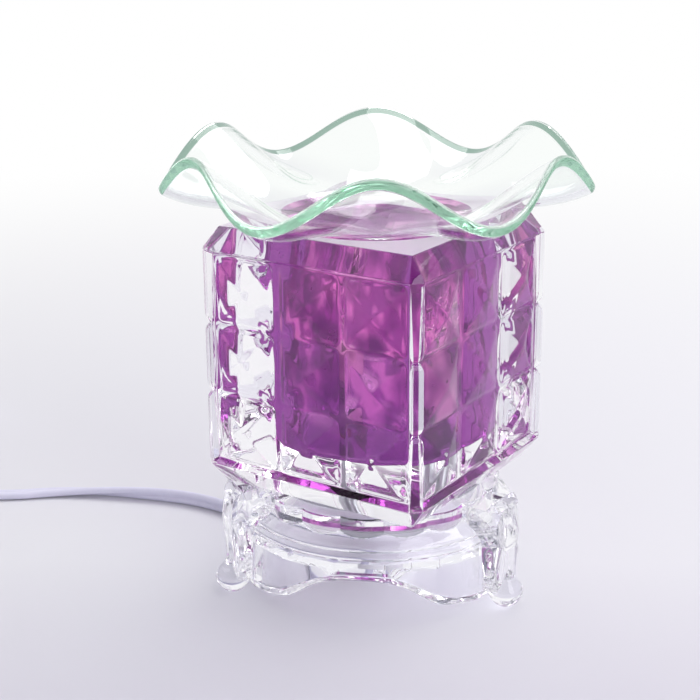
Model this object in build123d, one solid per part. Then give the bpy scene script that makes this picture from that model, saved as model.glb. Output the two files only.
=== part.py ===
from build123d import *
import os
from math import atan2, ceil, cos, degrees, pi, radians, sin, sqrt, tan

# Wax melt warmer: a ruffled glass dish on a pressed-glass lamp with a twin-flex lead, in millimetres.
# The origin is on the table under the middle of the lamp. +Z is up, and the lead leaves along -X.

# Pressed-glass body: a square block with rows of pyramids on its four faces
BODY_HALF = 41.3
CORNER_LEG = 3.3
CELL_COUNT = 3
CELL_HEIGHT = 24.0
GROOVE_WIDTH = 2.0
GROOVE_DEPTH = 2.6
PYRAMID_FLAT = 1.6
FRAME_SLOPE = 1.4
CORNER_NOTCH = 1.5
NOTCH_RISE = 3.0
TOP_BEVEL_HEIGHT = 7.1
TOP_BEVEL_INSET = 5.0
FOOT_BEVEL_HEIGHT = 7.4
FOOT_BEVEL_INSET = 5.5
BODY_FLOOR = 15.0
CAVITY_RADIUS = 30.0
CAVITY_FLOOR_ROUND = 2.5
MOUTH_CHAMFER = 1.5

# Pressed-glass base: a panelled skirt on three legs, a shoulder and a fluted neck
BASE_HEIGHT = 34.2
BASE_TURN = -4.1
PANEL_COUNT = 18
SKIRT_RADIUS = 48.4
SKIRT_LOW = 3.5
SKIRT_TOP = 22.0
SKIRT_TAPER = 3.0
SHOULDER_BEAD = 1.5
NECK_RADIUS = 39.9
FLUTE_BULGE = 1.4
NECK_LOW = 29.0
WEB_THICK = 6.2
BASE_WALL = 5.2
LEG_COUNT = 3
LEG_WIDTH = 13.0
LEG_BULGE = 5.6
LEG_ROUND = 2.4
LEG_RISE = 2.8
FOOT_CIRCLE = 52.0
FOOT_BALL = 6.4
FOOT_FLAT = 2.4
ARCH_RISE = 11.8
ARCH_SPAN = 72.0
ARCH_TOP_SPAN = 6.0

# Slumped float-glass dish with six waves
DISH_GLASS = 3.0
DISH_RADIUS = 66.6
DISH_WAVES = 6
DISH_TURN = 3.0
RIM_WAVE = 2.9
RUFFLE_HEIGHT = 8.6
RUFFLE_START = 30.0
BOWL_SLOPE = 0.465
BOWL_ROUND = 8.0
DISH_REST_GAP = 0.35

# Lamp hardware on the middle axis
GASKET_THICK = 0.8
GASKET_WIDTH = 5.0
PIPE_RADIUS = 4.9
PIPE_BORE = 3.6
PIPE_BELOW_NUT = 3.6
PIPE_ABOVE_NUT = 1.2
THREAD_CLEARANCE = 0.1
GLASS_HOLE_CLEARANCE = 0.5
RUBBER_WASHER = 1.2
STEEL_WASHER = 1.0
FIBRE_WASHER = 1.0
WASHER_RADIUS = 11.0
NUT_HEIGHT = 5.0
NUT_FLATS = 17.0
LOCKNUT_HEIGHT = 3.0
LOCKNUT_FLATS = 14.0
BUSH_FLANGE = 2.0
BUSH_FLANGE_RADIUS = 6.4
BUSH_SPIGOT = 5.0

# Ceramic two-pin lamp holder in its steel saddle
HOLDER_X = 13.0
HOLDER_Y = 18.0
HOLDER_HEIGHT = 18.0
HOLDER_LIFT = 10.5
HOLDER_ROUND = 2.0
SADDLE_SHEET = 1.2
SADDLE_WIDTH = 12.0
SADDLE_EAR = 9.0
HOLDER_SCREW_RADIUS = 1.5
HOLDER_SCREW_DEPTH = 3.0
SCREW_HEAD_RADIUS = 2.6
SCREW_HEAD_HEIGHT = 1.5
SOCKET_DEPTH = 4.0
SOCKET_GAP = 0.5
CONTACT_SHEET = 0.5
CONTACT_WIDTH = 2.4
CONTACT_HEIGHT = 9.0
CONTACT_ROOM = 0.8
WIRE_RADIUS = 1.0
WIRE_SPACING = 3.2

# Two-pin halogen capsule
BULB_RADIUS = 6.6
BULB_GLASS = 0.9
BULB_TIP = 25.0
PINCH_WIDTH = 12.0
PINCH_THICK = 3.4
PINCH_HEIGHT = 12.0
PIN_RADIUS = 0.6
PIN_SPACING = 9.0
PIN_LENGTH = 8.0
BULB_SEAT_GAP = 0.3
PIN_CLEARANCE = 0.3
FILAMENT_RADIUS = 0.7
FILAMENT_LENGTH = 6.0
FILAMENT_HEIGHT = 5.0
FILAMENT_LEG = 0.3

# Twin flex: the cord's oval section, its lie on the table and its fit in holes
CORD_WIDTH = 5.4
CORD_THICK = 2.7
CORD_LIFT = 0.1
CORD_HOLE_GAP = 0.2

# In-line dimmer: a tray and a cover around a small board, with a turning knob on top
DIMMER_LENGTH = 48.0
DIMMER_WIDTH = 28.0
DIMMER_SPLIT = 7.6
DIMMER_HEIGHT = 16.4
DIMMER_WALL = 1.8
DIMMER_CORNER = 6.0
DIMMER_EDGE = 1.6
LEAD_HEIGHT = 4.3
RELIEF_LENGTH = 20.0
RELIEF_WALL = 1.45
RELIEF_TIP_WALL = 0.7
CORD_TAIL = 4.0
BOARD_LENGTH = 26.0
BOARD_WIDTH = 14.0
BOARD_THICK = 1.2
POT_RADIUS = 6.5
POT_HEIGHT = 4.2
SPINDLE_RADIUS = 3.0
SPINDLE_CLEARANCE = 0.05
KNOB_RADIUS = 10.5
KNOB_HEIGHT = 5.2
KNOB_GAP = 0.4
KNOB_FLUTES = 16
KNOB_FLUTE_RADIUS = 1.1
KNOB_MARK_DEPTH = 0.5
DIMMER_SCREW_X = 16.0
DIMMER_SCREW_Y = 9.2
DIMMER_SCREW_RADIUS = 1.2
DIMMER_BOSS_RADIUS = 2.7
DIMMER_SCREW_LENGTH = 9.0

# Put-away coil: loops on edge in two layers, its tie, and the runs at its two ends
COIL_RADIUS = 30.6
COIL_PITCH = 3.25
COIL_HALF_TURNS = 6
COIL_LAYER = 5.95
COIL_RUN_IN = 9.0
COIL_RUN_OUT = 8.0
TIE_WIDTH = 4.0
TIE_THICK = 0.9
TIE_GAP = 0.3

# Two-blade plug on the end of the lead
PLUG_LENGTH = 30.0
PLUG_WIDTH = 19.0
PLUG_THICK = 14.0
PLUG_TAPER = 3.0
PLUG_ROUND = 2.5
BLADE_SPACING = 12.7
BLADE_WIDTH = 6.3
BLADE_THICK = 1.5
BLADE_LENGTH = 16.0
BLADE_ROOT = 6.0

# Points that the flex follows from the pipe, over the table and to the dimmer, as x, y and lift
# above where it lies flat. The first is the end in the bush, and the second is the bend under it.
CORD_ROUTE = [
    (-26.0, -1.0, 0.0),
    (-54.0, 2.0, 0.0),
    (-81.0, 5.0, 0.0),
    (-108.0, -4.0, 0.0),
    (-132.0, -15.0, 0.0),
    (-150.5, -33.0, 0.0),
    (-173.0, -39.5, 0.4),
    (-195.0, -31.0, 1.6),
]
DIMMER_HEADING = 135.0
DIMMER_APPROACH = 15.0

# Heights that follow from the stack of base, gasket, body and dish
BODY_BOTTOM = BASE_HEIGHT + GASKET_THICK
GRID_BOTTOM = BODY_BOTTOM + FOOT_BEVEL_HEIGHT
GRID_HEIGHT = CELL_COUNT * CELL_HEIGHT
GRID_TOP = GRID_BOTTOM + GRID_HEIGHT
BODY_TOP = GRID_TOP + TOP_BEVEL_HEIGHT
CAVITY_FLOOR = BODY_BOTTOM + BODY_FLOOR
SEAT_RADIUS = CAVITY_RADIUS + MOUTH_CHAMFER
GLASS_HOLE = PIPE_RADIUS + GLASS_HOLE_CLEARANCE
WEB_BOTTOM = BASE_HEIGHT - WEB_THICK
WASHER_BOTTOM = WEB_BOTTOM - RUBBER_WASHER - STEEL_WASHER
NUT_BOTTOM = WASHER_BOTTOM - NUT_HEIGHT
PIPE_BOTTOM = NUT_BOTTOM - PIPE_BELOW_NUT
SADDLE_BOTTOM = CAVITY_FLOOR + FIBRE_WASHER
LOCKNUT_BOTTOM = SADDLE_BOTTOM + SADDLE_SHEET
PIPE_TOP = LOCKNUT_BOTTOM + LOCKNUT_HEIGHT + PIPE_ABOVE_NUT
HOLDER_BOTTOM = CAVITY_FLOOR + HOLDER_LIFT
HOLDER_TOP = HOLDER_BOTTOM + HOLDER_HEIGHT
SOCKET_FLOOR = HOLDER_TOP - SOCKET_DEPTH
PINCH_BOTTOM = SOCKET_FLOOR + BULB_SEAT_GAP
PINCH_TOP = PINCH_BOTTOM + PINCH_HEIGHT
CORD_TOP = PIPE_BOTTOM + BUSH_SPIGOT
CORD_FLAT_HEIGHT = CORD_THICK / 2 + CORD_LIFT
BOARD_BOTTOM = LEAD_HEIGHT + CORD_WIDTH / 2 + CORD_HOLE_GAP
KNOB_BOTTOM = DIMMER_HEIGHT + KNOB_GAP
PANEL_ANGLE = 360 / PANEL_COUNT
LEG_ANGLE = 360 / LEG_COUNT
BEND_SHARE = 0.45

HEADING = Vector(cos(radians(DIMMER_HEADING)), sin(radians(DIMMER_HEADING)), 0)
COIL_SIDE = Vector(-HEADING.Y, HEADING.X, 0)
UP = Vector(0, 0, 1)
LOW = (Align.CENTER, Align.CENTER, Align.MIN)


def turned(part, angle):
    """The part turned about the lamp's upright axis."""
    return Rot(0, 0, angle) * part


def disc(radius, bottom, height):
    return Pos(0, 0, bottom) * Cylinder(radius, height, align=LOW)


def ring(outer, inner, bottom, height):
    return disc(outer, bottom, height) - disc(inner, bottom, height)


def hex_nut(flats, bore, bottom, height):
    """A hexagon nut with its corners turned off at both ends."""
    blank = Pos(0, 0, bottom) * extrude(RegularPolygon(flats / 2, 6, major_radius=False), height)
    round_blank = chamfer(disc(flats / sqrt(3), bottom, height).edges(), height / 12)
    return (blank & round_blank) - disc(bore, bottom, height)


# Pressed-glass body


def corner_cut_square(half):
    """A square with its four corners cut off, as the body's plan is."""
    return chamfer(Rectangle(2 * half, 2 * half).vertices(), CORNER_LEG)


def pyramid_sheet():
    """What is pressed away from the +X face: a slab less its grid of blunt pyramids."""
    width = 2 * (BODY_HALF - CORNER_LEG)
    cell = width / CELL_COUNT
    base_y = cell - GROOVE_WIDTH
    base_z = CELL_HEIGHT - GROOVE_WIDTH
    slab = Pos(-GROOVE_DEPTH / 2, 0, GRID_HEIGHT / 2) * Rot(0, 0, 90) * Wedge(
        width, GROOVE_DEPTH, GRID_HEIGHT,
        FRAME_SLOPE, FRAME_SLOPE, width - FRAME_SLOPE, GRID_HEIGHT - FRAME_SLOPE,
    )
    pyramid = Rot(0, 0, -90) * Wedge(
        base_y, GROOVE_DEPTH, base_z,
        (base_y - PYRAMID_FLAT) / 2, (base_z - PYRAMID_FLAT) / 2,
        (base_y + PYRAMID_FLAT) / 2, (base_z + PYRAMID_FLAT) / 2,
    )
    middle = (CELL_COUNT - 1) / 2
    places = [
        Pos(-GROOVE_DEPTH / 2, (column - middle) * cell, (row + 0.5) * CELL_HEIGHT)
        for column in range(CELL_COUNT)
        for row in range(CELL_COUNT)
    ]
    return Pos(BODY_HALF, 0, GRID_BOTTOM) * (slab - [place * pyramid for place in places])


def corner_notches():
    """V-notches where the level grooves run across a corner strip."""
    strip = (BODY_HALF - CORNER_LEG / 2) * sqrt(2)
    outline = Polyline(
        (strip - CORNER_NOTCH, 0),
        (strip + CORNER_NOTCH, 2 * NOTCH_RISE),
        (strip + CORNER_NOTCH, -2 * NOTCH_RISE),
        close=True,
    )
    notch = extrude(Plane.XZ * make_face(outline), 1.5 * CORNER_LEG, both=True)
    heights = [GRID_BOTTOM + row * CELL_HEIGHT for row in range(1, CELL_COUNT)]
    return [turned(Pos(0, 0, z) * notch, 45 + 90 * k) for z in heights for k in range(4)]


def cavity():
    """The lamp's well: a round bore with a rounded floor and a flared mouth."""
    well = disc(CAVITY_RADIUS, CAVITY_FLOOR, BODY_TOP - CAVITY_FLOOR)
    well = fillet(well.edges().group_by(Axis.Z)[0], CAVITY_FLOOR_ROUND)
    flare = Cone(CAVITY_RADIUS, CAVITY_RADIUS + 2 * MOUTH_CHAMFER, 2 * MOUTH_CHAMFER, align=LOW)
    return well + Pos(0, 0, BODY_TOP - MOUTH_CHAMFER) * flare


def glass_body():
    plan = corner_cut_square(BODY_HALF)
    top_taper = degrees(atan2(TOP_BEVEL_INSET, TOP_BEVEL_HEIGHT))
    foot_taper = degrees(atan2(FOOT_BEVEL_INSET, FOOT_BEVEL_HEIGHT))
    block = Pos(0, 0, GRID_BOTTOM) * extrude(plan, GRID_HEIGHT)
    block += Pos(0, 0, GRID_TOP) * extrude(plan, TOP_BEVEL_HEIGHT, taper=top_taper)
    block += Pos(0, 0, GRID_BOTTOM) * extrude(plan, -FOOT_BEVEL_HEIGHT, taper=foot_taper)
    block -= [turned(pyramid_sheet(), 90 * k) for k in range(4)]
    block -= corner_notches()
    block -= cavity()
    return block - disc(GLASS_HOLE, BODY_BOTTOM, BODY_FLOOR)


# Pressed-glass base


def fluted_neck():
    """The neck's plan: one shallow convex arc for each panel below it."""
    half = radians(PANEL_ANGLE / 2)
    tip = NECK_RADIUS + FLUTE_BULGE
    arcs = []
    for k in range(PANEL_COUNT):
        middle = radians(k * PANEL_ANGLE)
        start = (NECK_RADIUS * cos(middle - half), NECK_RADIUS * sin(middle - half))
        end = (NECK_RADIUS * cos(middle + half), NECK_RADIUS * sin(middle + half))
        arcs.append(ThreePointArc(start, (tip * cos(middle), tip * sin(middle)), end))
    plan = make_face(Wire(arcs))
    return Pos(0, 0, SKIRT_TOP) * extrude(plan, BASE_HEIGHT - SKIRT_TOP)


def shoulder():
    """The round moulding between the panelled skirt and the neck: a bead and a hollow curve."""
    skirt_edge = SKIRT_RADIUS * cos(pi / PANEL_COUNT) - (SKIRT_TOP - SKIRT_LOW) * tan(radians(SKIRT_TAPER))
    bead_top = (skirt_edge - SHOULDER_BEAD, SKIRT_TOP + 2 * SHOULDER_BEAD)
    hollow_middle = (
        bead_top[0] - 0.70 * (bead_top[0] - NECK_RADIUS),
        bead_top[1] + 0.35 * (NECK_LOW - bead_top[1]),
    )
    outline = [
        Line((0, SKIRT_TOP), (skirt_edge, SKIRT_TOP)),
        ThreePointArc((skirt_edge, SKIRT_TOP), (skirt_edge + SHOULDER_BEAD / 3, SKIRT_TOP + SHOULDER_BEAD), bead_top),
        ThreePointArc(bead_top, hollow_middle, (NECK_RADIUS, NECK_LOW)),
        Line((NECK_RADIUS, NECK_LOW), (0, NECK_LOW)),
        Line((0, NECK_LOW), (0, SKIRT_TOP)),
    ]
    return revolve(Plane.XZ * make_face(Wire(outline)), Axis.Z)


def skirt():
    plan = Rot(0, 0, PANEL_ANGLE / 2) * RegularPolygon(SKIRT_RADIUS, PANEL_COUNT)
    return Pos(0, 0, SKIRT_LOW) * extrude(plan, SKIRT_TOP - SKIRT_LOW, taper=SKIRT_TAPER)


def leg():
    """One leg on +X: an upright column with a rounded crown, standing on a ball foot with a small flat."""
    inner = SKIRT_RADIUS - BASE_WALL
    front = SKIRT_RADIUS + LEG_BULGE
    crown = SKIRT_RADIUS + LEG_BULGE / 4
    top = BASE_HEIGHT + LEG_RISE
    ball_height = sqrt(FOOT_BALL**2 - FOOT_FLAT**2)
    toe = FOOT_CIRCLE + FOOT_BALL / 5
    waist = (front - LEG_BULGE / 6, (SKIRT_LOW + SKIRT_TOP) / 2)
    chest = (front, SKIRT_TOP + (BASE_HEIGHT - SKIRT_TOP) / 3)
    brow = (front - LEG_BULGE / 4, BASE_HEIGHT)
    nape = (SKIRT_RADIUS, BASE_HEIGHT - GASKET_THICK / 2)
    back = [(crown, top), nape, (NECK_RADIUS - GASKET_THICK, nape[1])]
    back += [(NECK_RADIUS - GASKET_THICK, SKIRT_TOP), (inner, SKIRT_TOP - BASE_WALL)]
    back += [(inner, ball_height), (toe, ball_height)]
    outline = [Spline((toe, ball_height), waist, chest, brow, (crown, top))]
    outline += [Line(start, end) for start, end in zip(back, back[1:])]
    column = extrude(Plane.XZ * make_face(Wire(outline)), LEG_WIDTH / 2, both=True)
    front_faces = column.faces().filter_by(GeomType.PLANE, reverse=True)
    column = fillet(front_faces.edges().filter_by(GeomType.LINE, reverse=True), LEG_ROUND)
    ball = Pos(FOOT_CIRCLE, 0, ball_height) * Sphere(FOOT_BALL)
    return column + (ball & disc(2 * SKIRT_RADIUS, 0, BASE_HEIGHT))


def arch():
    """The S-sided arch that is pressed out of the skirt between two legs, along +X."""
    low = (ARCH_SPAN / 2, SKIRT_LOW)
    high = (ARCH_TOP_SPAN / 2, SKIRT_LOW + ARCH_RISE)
    turn_point = (low[0] + high[0]) / 2
    rise = Bezier(low, (turn_point, low[1]), (turn_point, high[1]), high)
    fall = Bezier((-high[0], high[1]), (-turn_point, high[1]), (-turn_point, low[1]), (-low[0], low[1]))
    outline = [
        rise,
        Line(high, (-high[0], high[1])),
        fall,
        Line((-low[0], low[1]), (-low[0], 0)),
        Line((-low[0], 0), (low[0], 0)),
        Line((low[0], 0), low),
    ]
    return extrude(Plane.YZ * make_face(Wire(outline)), 2 * SKIRT_RADIUS)


def base_hollow():
    inner = SKIRT_RADIUS * cos(pi / PANEL_COUNT) - BASE_WALL
    neck_inner = NECK_RADIUS - 2 * BASE_WALL
    outline = [
        Line((0, 0), (inner, 0)),
        Line((inner, 0), (inner - BASE_WALL / 4, SKIRT_TOP - BASE_WALL)),
        Line((inner - BASE_WALL / 4, SKIRT_TOP - BASE_WALL), (neck_inner, WEB_BOTTOM)),
        Line((neck_inner, WEB_BOTTOM), (0, WEB_BOTTOM)),
        Line((0, WEB_BOTTOM), (0, 0)),
    ]
    return revolve(Plane.XZ * make_face(Wire(outline)), Axis.Z)


def glass_base():
    body = skirt() + shoulder() + fluted_neck()
    body -= [turned(arch(), LEG_ANGLE / 2 + LEG_ANGLE * k) for k in range(LEG_COUNT)]
    body -= base_hollow()
    body += [turned(leg(), LEG_ANGLE * k) for k in range(LEG_COUNT)]
    return turned(body - disc(GLASS_HOLE, 0, BASE_HEIGHT), BASE_TURN)


def base_gasket():
    outer = BODY_HALF - FOOT_BEVEL_INSET
    return ring(outer, outer - GASKET_WIDTH, BASE_HEIGHT, GASKET_THICK)


# Slumped glass dish


def bowl_rise(radius):
    """Height of the plain bowl above its lowest point."""
    return sqrt((BOWL_SLOPE * radius) ** 2 + BOWL_ROUND**2) - BOWL_ROUND


def ruffle(radius):
    """Half the height of the waves, which grow from the bowl to the rim."""
    share = min(max((radius - RUFFLE_START) / (DISH_RADIUS - RUFFLE_START), 0), 1)
    return RUFFLE_HEIGHT * share * share * (3 - 2 * share)


def wave(angle):
    """The waves round the dish, from 1 at a crest to -1 in a trough. The loose dish is turned a little."""
    return cos(DISH_WAVES * (angle - radians(DISH_TURN)))


def dish_underside(x, y):
    radius = sqrt(x * x + y * y)
    floor = BODY_TOP + DISH_REST_GAP - bowl_rise(SEAT_RADIUS)
    return floor + bowl_rise(radius) + ruffle(radius) * wave(atan2(y, x))


def dish_topside(x, y):
    """The underside raised by the glass, measured square to the surface."""
    step = 0.05
    slope_x = (dish_underside(x + step, y) - dish_underside(x - step, y)) / (2 * step)
    slope_y = (dish_underside(x, y + step) - dish_underside(x, y - step)) / (2 * step)
    return dish_underside(x, y) + DISH_GLASS * sqrt(1 + slope_x**2 + slope_y**2)


def below_surface(height, reach, depth):
    """The solid below a draped surface over a square field."""
    count = 2 * ceil(reach / 3.6) + 1
    spots = [reach * (2 * i / (count - 1) - 1) for i in range(count)]
    sheet = Face.make_surface_from_array_of_points([[(x, y, height(x, y)) for x in spots] for y in spots])
    return extrude(sheet, depth, dir=(0, 0, -1))


def glass_dish():
    reach = DISH_RADIUS + RIM_WAVE + DISH_GLASS
    depth = 2 * (BODY_TOP - CAVITY_FLOOR)
    steps = 8 * DISH_WAVES
    rim = []
    for k in range(steps):
        angle = 2 * pi * k / steps
        radius = DISH_RADIUS - RIM_WAVE * wave(angle)
        rim.append((radius * cos(angle), radius * sin(angle)))
    plan = make_face(Spline(rim, periodic=True))
    blank = Pos(0, 0, CAVITY_FLOOR) * extrude(plan, depth)
    return (blank & below_surface(dish_topside, reach, depth)) - below_surface(dish_underside, reach, depth)


# Lamp hardware


def threaded_pipe():
    return ring(PIPE_RADIUS, PIPE_BORE, PIPE_BOTTOM, PIPE_TOP - PIPE_BOTTOM)


def thread_ring(outer, bottom, height):
    return ring(outer, PIPE_RADIUS + THREAD_CLEARANCE, bottom, height)


def pipe_bushing():
    """The plastic bush that keeps the pipe's end from cutting the flex."""
    spigot = PIPE_BORE - THREAD_CLEARANCE
    bush = disc(BUSH_FLANGE_RADIUS, PIPE_BOTTOM - BUSH_FLANGE, BUSH_FLANGE) + disc(spigot, PIPE_BOTTOM, BUSH_SPIGOT)
    hole = SlotOverall(CORD_WIDTH + 2 * CORD_HOLE_GAP, CORD_THICK + 2 * CORD_HOLE_GAP, rotation=90)
    return bush - Pos(0, 0, PIPE_BOTTOM - BUSH_FLANGE) * extrude(hole, BUSH_FLANGE + BUSH_SPIGOT)


def holder_screw_height():
    return HOLDER_BOTTOM + SADDLE_EAR / 2


def holder_saddle():
    """A steel strip bent to a U, clamped under the locknut, whose ears hold the ceramic."""
    span = HOLDER_Y / 2 + SADDLE_SHEET
    rise = HOLDER_BOTTOM + SADDLE_EAR - SADDLE_BOTTOM
    strip = Pos(0, 0, SADDLE_BOTTOM) * Box(SADDLE_WIDTH, 2 * span, rise, align=LOW)
    inside = Pos(0, 0, LOCKNUT_BOTTOM) * Box(SADDLE_WIDTH, HOLDER_Y, rise, align=LOW)
    round_base = disc(LOCKNUT_FLATS / sqrt(3) + SADDLE_SHEET, SADDLE_BOTTOM, SADDLE_SHEET)
    hole = disc(PIPE_RADIUS + THREAD_CLEARANCE, SADDLE_BOTTOM, SADDLE_SHEET)
    screw_hole = Pos(0, 0, holder_screw_height()) * Rot(90, 0, 0) * Cylinder(
        HOLDER_SCREW_RADIUS + THREAD_CLEARANCE, 2 * span
    )
    return strip - inside + round_base - hole - screw_hole


def socket_box(gap, bottom, top):
    return Pos(0, 0, bottom) * Box(PINCH_THICK + 2 * gap, PINCH_WIDTH + 2 * gap, top - bottom, align=LOW)


def contact_pocket():
    """Room for one contact: a slot under the socket with space for the spring's legs."""
    wide = 2 * (PIN_RADIUS + PIN_CLEARANCE + CONTACT_SHEET + CONTACT_ROOM)
    return Pos(0, 0, SOCKET_FLOOR - CONTACT_HEIGHT) * Box(wide, CONTACT_WIDTH, CONTACT_HEIGHT, align=LOW)


def lamp_holder():
    """The ceramic block with its socket, two contact pockets, wire holes and blind screw holes."""
    plan = RectangleRounded(HOLDER_X, HOLDER_Y, HOLDER_ROUND)
    block = Pos(0, 0, HOLDER_BOTTOM) * extrude(plan, HOLDER_HEIGHT)
    block -= socket_box(SOCKET_GAP, SOCKET_FLOOR, HOLDER_TOP)
    for side in (-1, 1):
        block -= Pos(0, side * PIN_SPACING / 2, 0) * contact_pocket()
        hole = Rot(90, 0, 0) * Cylinder(HOLDER_SCREW_RADIUS, 2 * HOLDER_SCREW_DEPTH)
        block -= Pos(0, side * HOLDER_Y / 2, holder_screw_height()) * hole
    return block


def holder_screws():
    reach = HOLDER_SCREW_DEPTH - 2 * THREAD_CLEARANCE
    shank_length = reach + SADDLE_SHEET
    shank = Cylinder(HOLDER_SCREW_RADIUS - THREAD_CLEARANCE / 2, shank_length, align=LOW)
    head = Pos(0, 0, shank_length) * Cylinder(SCREW_HEAD_RADIUS, SCREW_HEAD_HEIGHT, align=LOW)
    slot = Pos(0, 0, shank_length + SCREW_HEAD_HEIGHT) * Box(
        2 * SCREW_HEAD_RADIUS, SCREW_HEAD_RADIUS / 4, SCREW_HEAD_HEIGHT
    )
    screw = shank + head - slot
    place = Pos(0, HOLDER_Y / 2 - reach, holder_screw_height()) * Rot(-90, 0, 0)
    return [turned(place * screw, angle) for angle in (0, 180)]


def contact_springs():
    """A U of spring sheet round each pin, standing in its pocket."""
    inner = 2 * (PIN_RADIUS + PIN_CLEARANCE)
    outer = inner + 2 * CONTACT_SHEET
    width = CONTACT_WIDTH - 2 * THREAD_CLEARANCE
    bottom = SOCKET_FLOOR - CONTACT_HEIGHT
    height = CONTACT_HEIGHT - CONTACT_SHEET
    spring = Pos(0, 0, bottom) * Box(outer, width, height, align=LOW)
    spring -= Pos(0, 0, bottom + CONTACT_SHEET) * Box(inner, width, height, align=LOW)
    return [Pos(0, side * PIN_SPACING / 2, 0) * spring for side in (-1, 1)]


def lead_wires():
    wire = disc(WIRE_RADIUS, CORD_TOP, HOLDER_BOTTOM - CORD_TOP)
    return [Pos(0, side * WIRE_SPACING / 2, 0) * wire for side in (-1, 1)]


# Halogen capsule


def capsule(radius, bottom, top):
    """A round-ended cylinder, drawn as a half profile and turned."""
    shoulder_height = bottom + radius * 0.6
    crown = top - radius
    outline = [
        Line((0, bottom), (radius * 0.5, bottom)),
        Line((radius * 0.5, bottom), (radius, shoulder_height)),
        Line((radius, shoulder_height), (radius, crown)),
        ThreePointArc((radius, crown), (radius * sin(pi / 4), crown + radius * cos(pi / 4)), (0, top)),
        Line((0, top), (0, bottom)),
    ]
    return revolve(Plane.XZ * make_face(Wire(outline)), Axis.Z)


def bulb_glass():
    """Quartz envelope with its flat pinched foot."""
    envelope_bottom = PINCH_TOP - BULB_RADIUS / 2
    pinch = Pos(0, 0, PINCH_BOTTOM) * Box(PINCH_THICK, PINCH_WIDTH, PINCH_HEIGHT, align=LOW)
    envelope = capsule(BULB_RADIUS, envelope_bottom, PINCH_BOTTOM + BULB_TIP)
    hollow = capsule(BULB_RADIUS - BULB_GLASS, PINCH_TOP, PINCH_BOTTOM + BULB_TIP - BULB_GLASS)
    return pinch + envelope - hollow


def bulb_pins():
    pin = disc(PIN_RADIUS, PINCH_BOTTOM - PIN_LENGTH, PIN_LENGTH)
    return [Pos(0, side * PIN_SPACING / 2, 0) * pin for side in (-1, 1)]


def bulb_filament():
    """The coiled tungsten bar on its two molybdenum legs."""
    bar = Pos(0, 0, PINCH_TOP + FILAMENT_HEIGHT) * Rot(90, 0, 0) * Cylinder(FILAMENT_RADIUS, FILAMENT_LENGTH)
    leg_wire = disc(FILAMENT_LEG, PINCH_TOP, FILAMENT_HEIGHT)
    reach = FILAMENT_LENGTH / 2 - FILAMENT_RADIUS
    return bar + [Pos(0, side * reach, 0) * leg_wire for side in (-1, 1)]


# Flex from the lamp to the dimmer


def cord_points():
    """The flex's route: down out of the bush, along the table and up to the dimmer's relief."""
    floor = [(x, y, CORD_FLAT_HEIGHT + lift) for x, y, lift in CORD_ROUTE]
    return [(0, 0, CORD_TOP), (0, 0, CORD_FLAT_HEIGHT)] + floor + [tuple(dimmer_start())]


def dimmer_start():
    """The tip of the dimmer's first strain relief."""
    x, y, lift = CORD_ROUTE[-1]
    point = Vector(x, y, LEAD_HEIGHT) + HEADING * DIMMER_APPROACH
    return point


def bend_radii(points):
    """The largest arc that the two runs at each inner point leave room for."""
    radii = []
    for before, here, after in zip(points, points[1:], points[2:]):
        run_in = Vector(here) - Vector(before)
        run_out = Vector(after) - Vector(here)
        half_turn = radians(run_in.get_angle(run_out)) / 2
        radii.append(BEND_SHARE * min(run_in.length, run_out.length) / tan(half_turn))
    return radii


def cord():
    points = cord_points()
    tail = Vector(points[-1]) + HEADING * (RELIEF_LENGTH + DIMMER_WALL + CORD_TAIL)
    radii = bend_radii(points + [tuple(tail)])
    path = FilletPolyline(*points, tuple(tail), radius=radii)
    section = Plane(points[0], x_dir=(0, 1, 0), z_dir=(0, 0, -1)) * SlotOverall(CORD_WIDTH, CORD_THICK)
    solid = sweep(section, path)
    print("cord radii", [round(r, 1) for r in radii], "length", round(path.length, 1))
    print("cord volume against section times length", round(solid.volume / (section.area * path.length), 4))
    return solid


# In-line dimmer, made along +X about its middle and then laid on the table


def on_dimmer(part):
    middle = dimmer_start() + HEADING * (RELIEF_LENGTH + DIMMER_LENGTH / 2)
    return Pos(middle.X, middle.Y, 0) * Rot(0, 0, DIMMER_HEADING) * part


def dimmer_plan(inset):
    return RectangleRounded(DIMMER_LENGTH - 2 * inset, DIMMER_WIDTH - 2 * inset, DIMMER_CORNER - inset)


def screw_places():
    return [Pos(DIMMER_SCREW_X, -DIMMER_SCREW_Y, 0), Pos(-DIMMER_SCREW_X, DIMMER_SCREW_Y, 0)]


def cord_slot(x, z, wide_way, wall):
    """The flex's section at a place along +X, grown all round by a wall."""
    plane = Plane((x, 0, z), x_dir=wide_way, z_dir=(1, 0, 0))
    return plane * SlotOverall(CORD_WIDTH + 2 * wall, CORD_THICK + 2 * wall)


def flat_way():
    return (0, 1, 0)


def edge_way(side):
    """Up, with the small lean that the flex has where it leaves for the coil or comes back."""
    return (0, side * sin(coil_lean()), cos(coil_lean()))


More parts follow.
